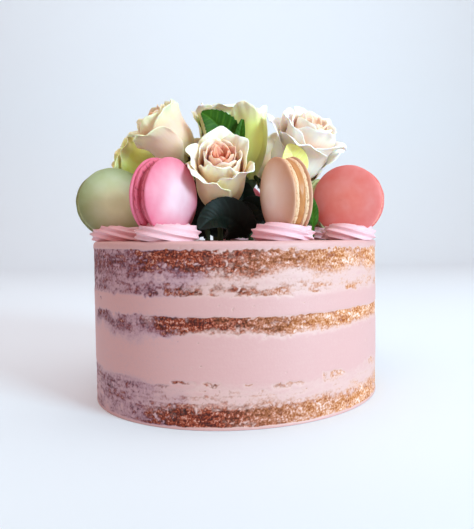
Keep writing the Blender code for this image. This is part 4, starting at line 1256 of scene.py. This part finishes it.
# %% Leaf blades
def leaf(name, foot, bend, tip, facing, width, stalk, kind):
    """One leaf: a stalk that widens to a toothed blade, folded along its midrib.

    The midrib is a quadratic curve. The blade's half width is a power of a sine of its share,
    less a saw for the teeth. The veins are bell curves across a second saw, which is carried
    forward with the distance from the midrib. The face lifts with that distance, waves a little,
    sinks at the veins and puffs up between them by a sine.
    """
    along = np.linspace(0.0, 1.0, LEAF_ROWS)[:, None]
    across = np.linspace(-1.0, 1.0, LEAF_COLUMNS)[None, :]
    aside = np.abs(across)
    start, middle, end = (np.array(p, dtype=float) for p in ((*foot, CAKE_TOP + LEAF_CLEAR), bend, tip))
    spine = start * (1 - along) ** 2 + middle * 2 * along * (1 - along) + end * along ** 2
    ahead = 2 * (middle - start) * (1 - along) + 2 * (end - middle) * along
    ahead /= np.linalg.norm(ahead, axis=1, keepdims=True)
    side = np.cross(ahead, np.array(facing))
    side /= np.linalg.norm(side, axis=1, keepdims=True)
    face = np.cross(side, ahead)

    widest, outline, tooth_depth, puff_height = LEAF_FORMS[kind]
    blade = np.clip((along - stalk) / (1.0 - stalk), 0.0, 1.0)
    whole = np.sin(math.pi * blade ** widest) ** outline
    tooth = (TEETH * blade) % 1.0
    bite = tooth_depth * (1.0 - tooth) * smoothstep(0.0, 0.3, whole)
    half = 0.5 * LEAF_STALK + 0.5 * width * whole * (1.0 - bite * smoothstep(0.7, 1.0, aside))
    forward = (SIDE_VEINS * (blade - 0.22 * aside * whole)) % 1.0
    vein = np.exp(-((forward - 0.5) / 0.10) ** 2) * (1.0 - smoothstep(0.75, 1.0, aside))
    vein = vein * smoothstep(0.1, 0.4, whole)
    vein = np.maximum(vein, np.exp(-(half * across / 0.7) ** 2))
    puff = puff_height * np.sin(math.pi * forward) * smoothstep(0.2, 0.8, whole)
    puff = puff * np.sin(math.pi * aside ** 0.7)
    lift = 0.25 * half * aside + 0.05 * half * np.sin(9.0 * blade + 2.0 * across) - 0.25 * vein + puff
    points = spine[:, None, :] + side[:, None, :] * (half * across)[..., None]
    points = points + face[:, None, :] * lift[..., None]
    faces = sheet_faces(LEAF_ROWS, LEAF_COLUMNS).tolist()
    return add_piece(f"rose_leaf_{name}", points.reshape(-1, 3), faces, leaf_finishes[kind],
                     [f"leaf_{name}"], {"vein": vein}, LEAF_THICKNESS)


for name, row in LEAVES.items():
    leaf(name, *row)
print("cut", len(LEAVES), "leaves")

# %% [markdown]
# ## Studio
#
# The cake stands on a pale sweep, a floor that curves up into a backdrop. A soft cool light comes
# from the right in front, as in the photo, a weak warm one from above the camera, and a third
# keeps the backdrop bright. The surroundings are warm, so the shadows on the pink icing are too.

# %% Sweep, lights and world, in m and W
SWEEP_WIDTH, SWEEP_FRONT, SWEEP_BACK, SWEEP_RADIUS, SWEEP_TOP = 4.0, -2.0, 1.4, 0.6, 2.6
SWEEP_GAP = 0.0002
# name: place, point that it faces, size, power, colour
LIGHTS = {
    "key_light": ((1.14, -1.10, 0.53), (0, 0, 0.1), 0.5, 26.5, (0.66, 1.00, 1.14)),
    "fill_light": ((-0.25, -1.1, 1.7), (0, 0, 0.12), 1.4, 6.0, (1.0, 0.88, 0.82)),
    "wall_light": ((0.0, 0.5, 1.6), (0, 2.0, 0.4), 2.6, 24.0, (0.89, 0.97, 1.04)),
}
WORLD_COLOUR, WORLD_STRENGTH = (1.0, 0.62, 0.52, 1.0), 0.34


def studio_sweep():
    """Floor, quarter-round bend and wall as one sheet."""
    bend = np.linspace(0, math.pi / 2, 24)
    wall = SWEEP_BACK + SWEEP_RADIUS
    y = np.concatenate([[SWEEP_FRONT], SWEEP_BACK + SWEEP_RADIUS * np.sin(bend), [wall]])
    z = np.concatenate([[0.0], SWEEP_RADIUS * (1 - np.cos(bend)), [SWEEP_TOP]]) - SWEEP_GAP
    sides = [np.stack([np.full_like(y, x), y, z], -1) for x in (-SWEEP_WIDTH / 2, SWEEP_WIDTH / 2)]
    points = np.stack(sides, 1)
    mesh = bpy.data.meshes.new("studio_sweep")
    mesh.from_pydata(points.reshape(-1, 3).tolist(), [], sheet_faces(len(y), 2)[:, ::-1].tolist())
    mesh.shade_smooth()
    mesh.materials.append(new_material("studio_paper", Base_Color=linear("E9F1F7"), Roughness=0.9))
    sweep = bpy.data.objects.new("studio_sweep", mesh)
    bpy.context.scene.collection.objects.link(sweep)
    sweep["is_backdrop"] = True


def area_light(name, place, aim, size, power, colour):
    """A square soft light that faces a point."""
    data = bpy.data.lights.new(name, "AREA")
    data.size, data.energy, data.color = size, power, colour
    lamp = bpy.data.objects.new(name, data)
    lamp.location = place
    lamp.rotation_euler = (Vector(aim) - Vector(place)).to_track_quat("-Z", "Y").to_euler()
    bpy.context.scene.collection.objects.link(lamp)


studio_sweep()
for name, row in LIGHTS.items():
    area_light(name, *row)
world = bpy.data.worlds.new("studio")
world.use_nodes = True
world.node_tree.nodes["Background"].inputs["Color"].default_value = WORLD_COLOUR
world.node_tree.nodes["Background"].inputs["Strength"].default_value = WORLD_STRENGTH
bpy.context.scene.world = world
bpy.context.scene.view_settings.view_transform = "Standard"
print("lit by", len(LIGHTS), "lights of", sum(row[3] for row in LIGHTS.values()), "W")

# %% [markdown]
# ## Camera
#
# The camera stands where the photo was taken from, a little above the middle of the cake and
# looking slightly down. The angles and the focal length come from matching the layers' edges
# and the outline of the cake in the photo.

# %% Camera in m and radians
LONG_SIDE_PX, FOCAL_PX, SHIFT_PX = 529, 541.8, -61.9
PITCH, ROLL, YAW = math.radians(2.86), math.radians(0.40), math.radians(6.35)
EYE = Vector((0.0, -0.3577, 0.0964))
ahead = Vector((math.sin(YAW) * math.cos(PITCH), math.cos(YAW) * math.cos(PITCH), -math.sin(PITCH)))
level = Vector((math.cos(YAW), -math.sin(YAW), 0.0))
upward = level.cross(ahead)
across = level * math.cos(ROLL) - upward * math.sin(ROLL)
upward = level * math.sin(ROLL) + upward * math.cos(ROLL)
data = bpy.data.cameras.new("photo_camera")
data.sensor_width = 36.0
data.lens = data.sensor_width * FOCAL_PX / LONG_SIDE_PX
data.shift_x = SHIFT_PX / LONG_SIDE_PX
data.clip_start = 0.01
camera = bpy.data.objects.new("photo_camera", data)
turned = Matrix((across, upward, -ahead)).transposed().to_4x4()
camera.matrix_world = Matrix.Translation(EYE) @ turned
bpy.context.scene.collection.objects.link(camera)
bpy.context.scene.camera = camera
print("the lens is", round(data.lens, 1), "mm long")

# %% [markdown]
# ## Size
#
# The detailed model is meant to keep the size of the imported one, so the sizes of both boxes are printed.

# %% Sizes
boxes = {"cad": cad_box, "visual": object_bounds()}
for key, (low, high) in boxes.items():
    print(key, [round(float(b - a) / MM, 1) for a, b in zip(low, high)])
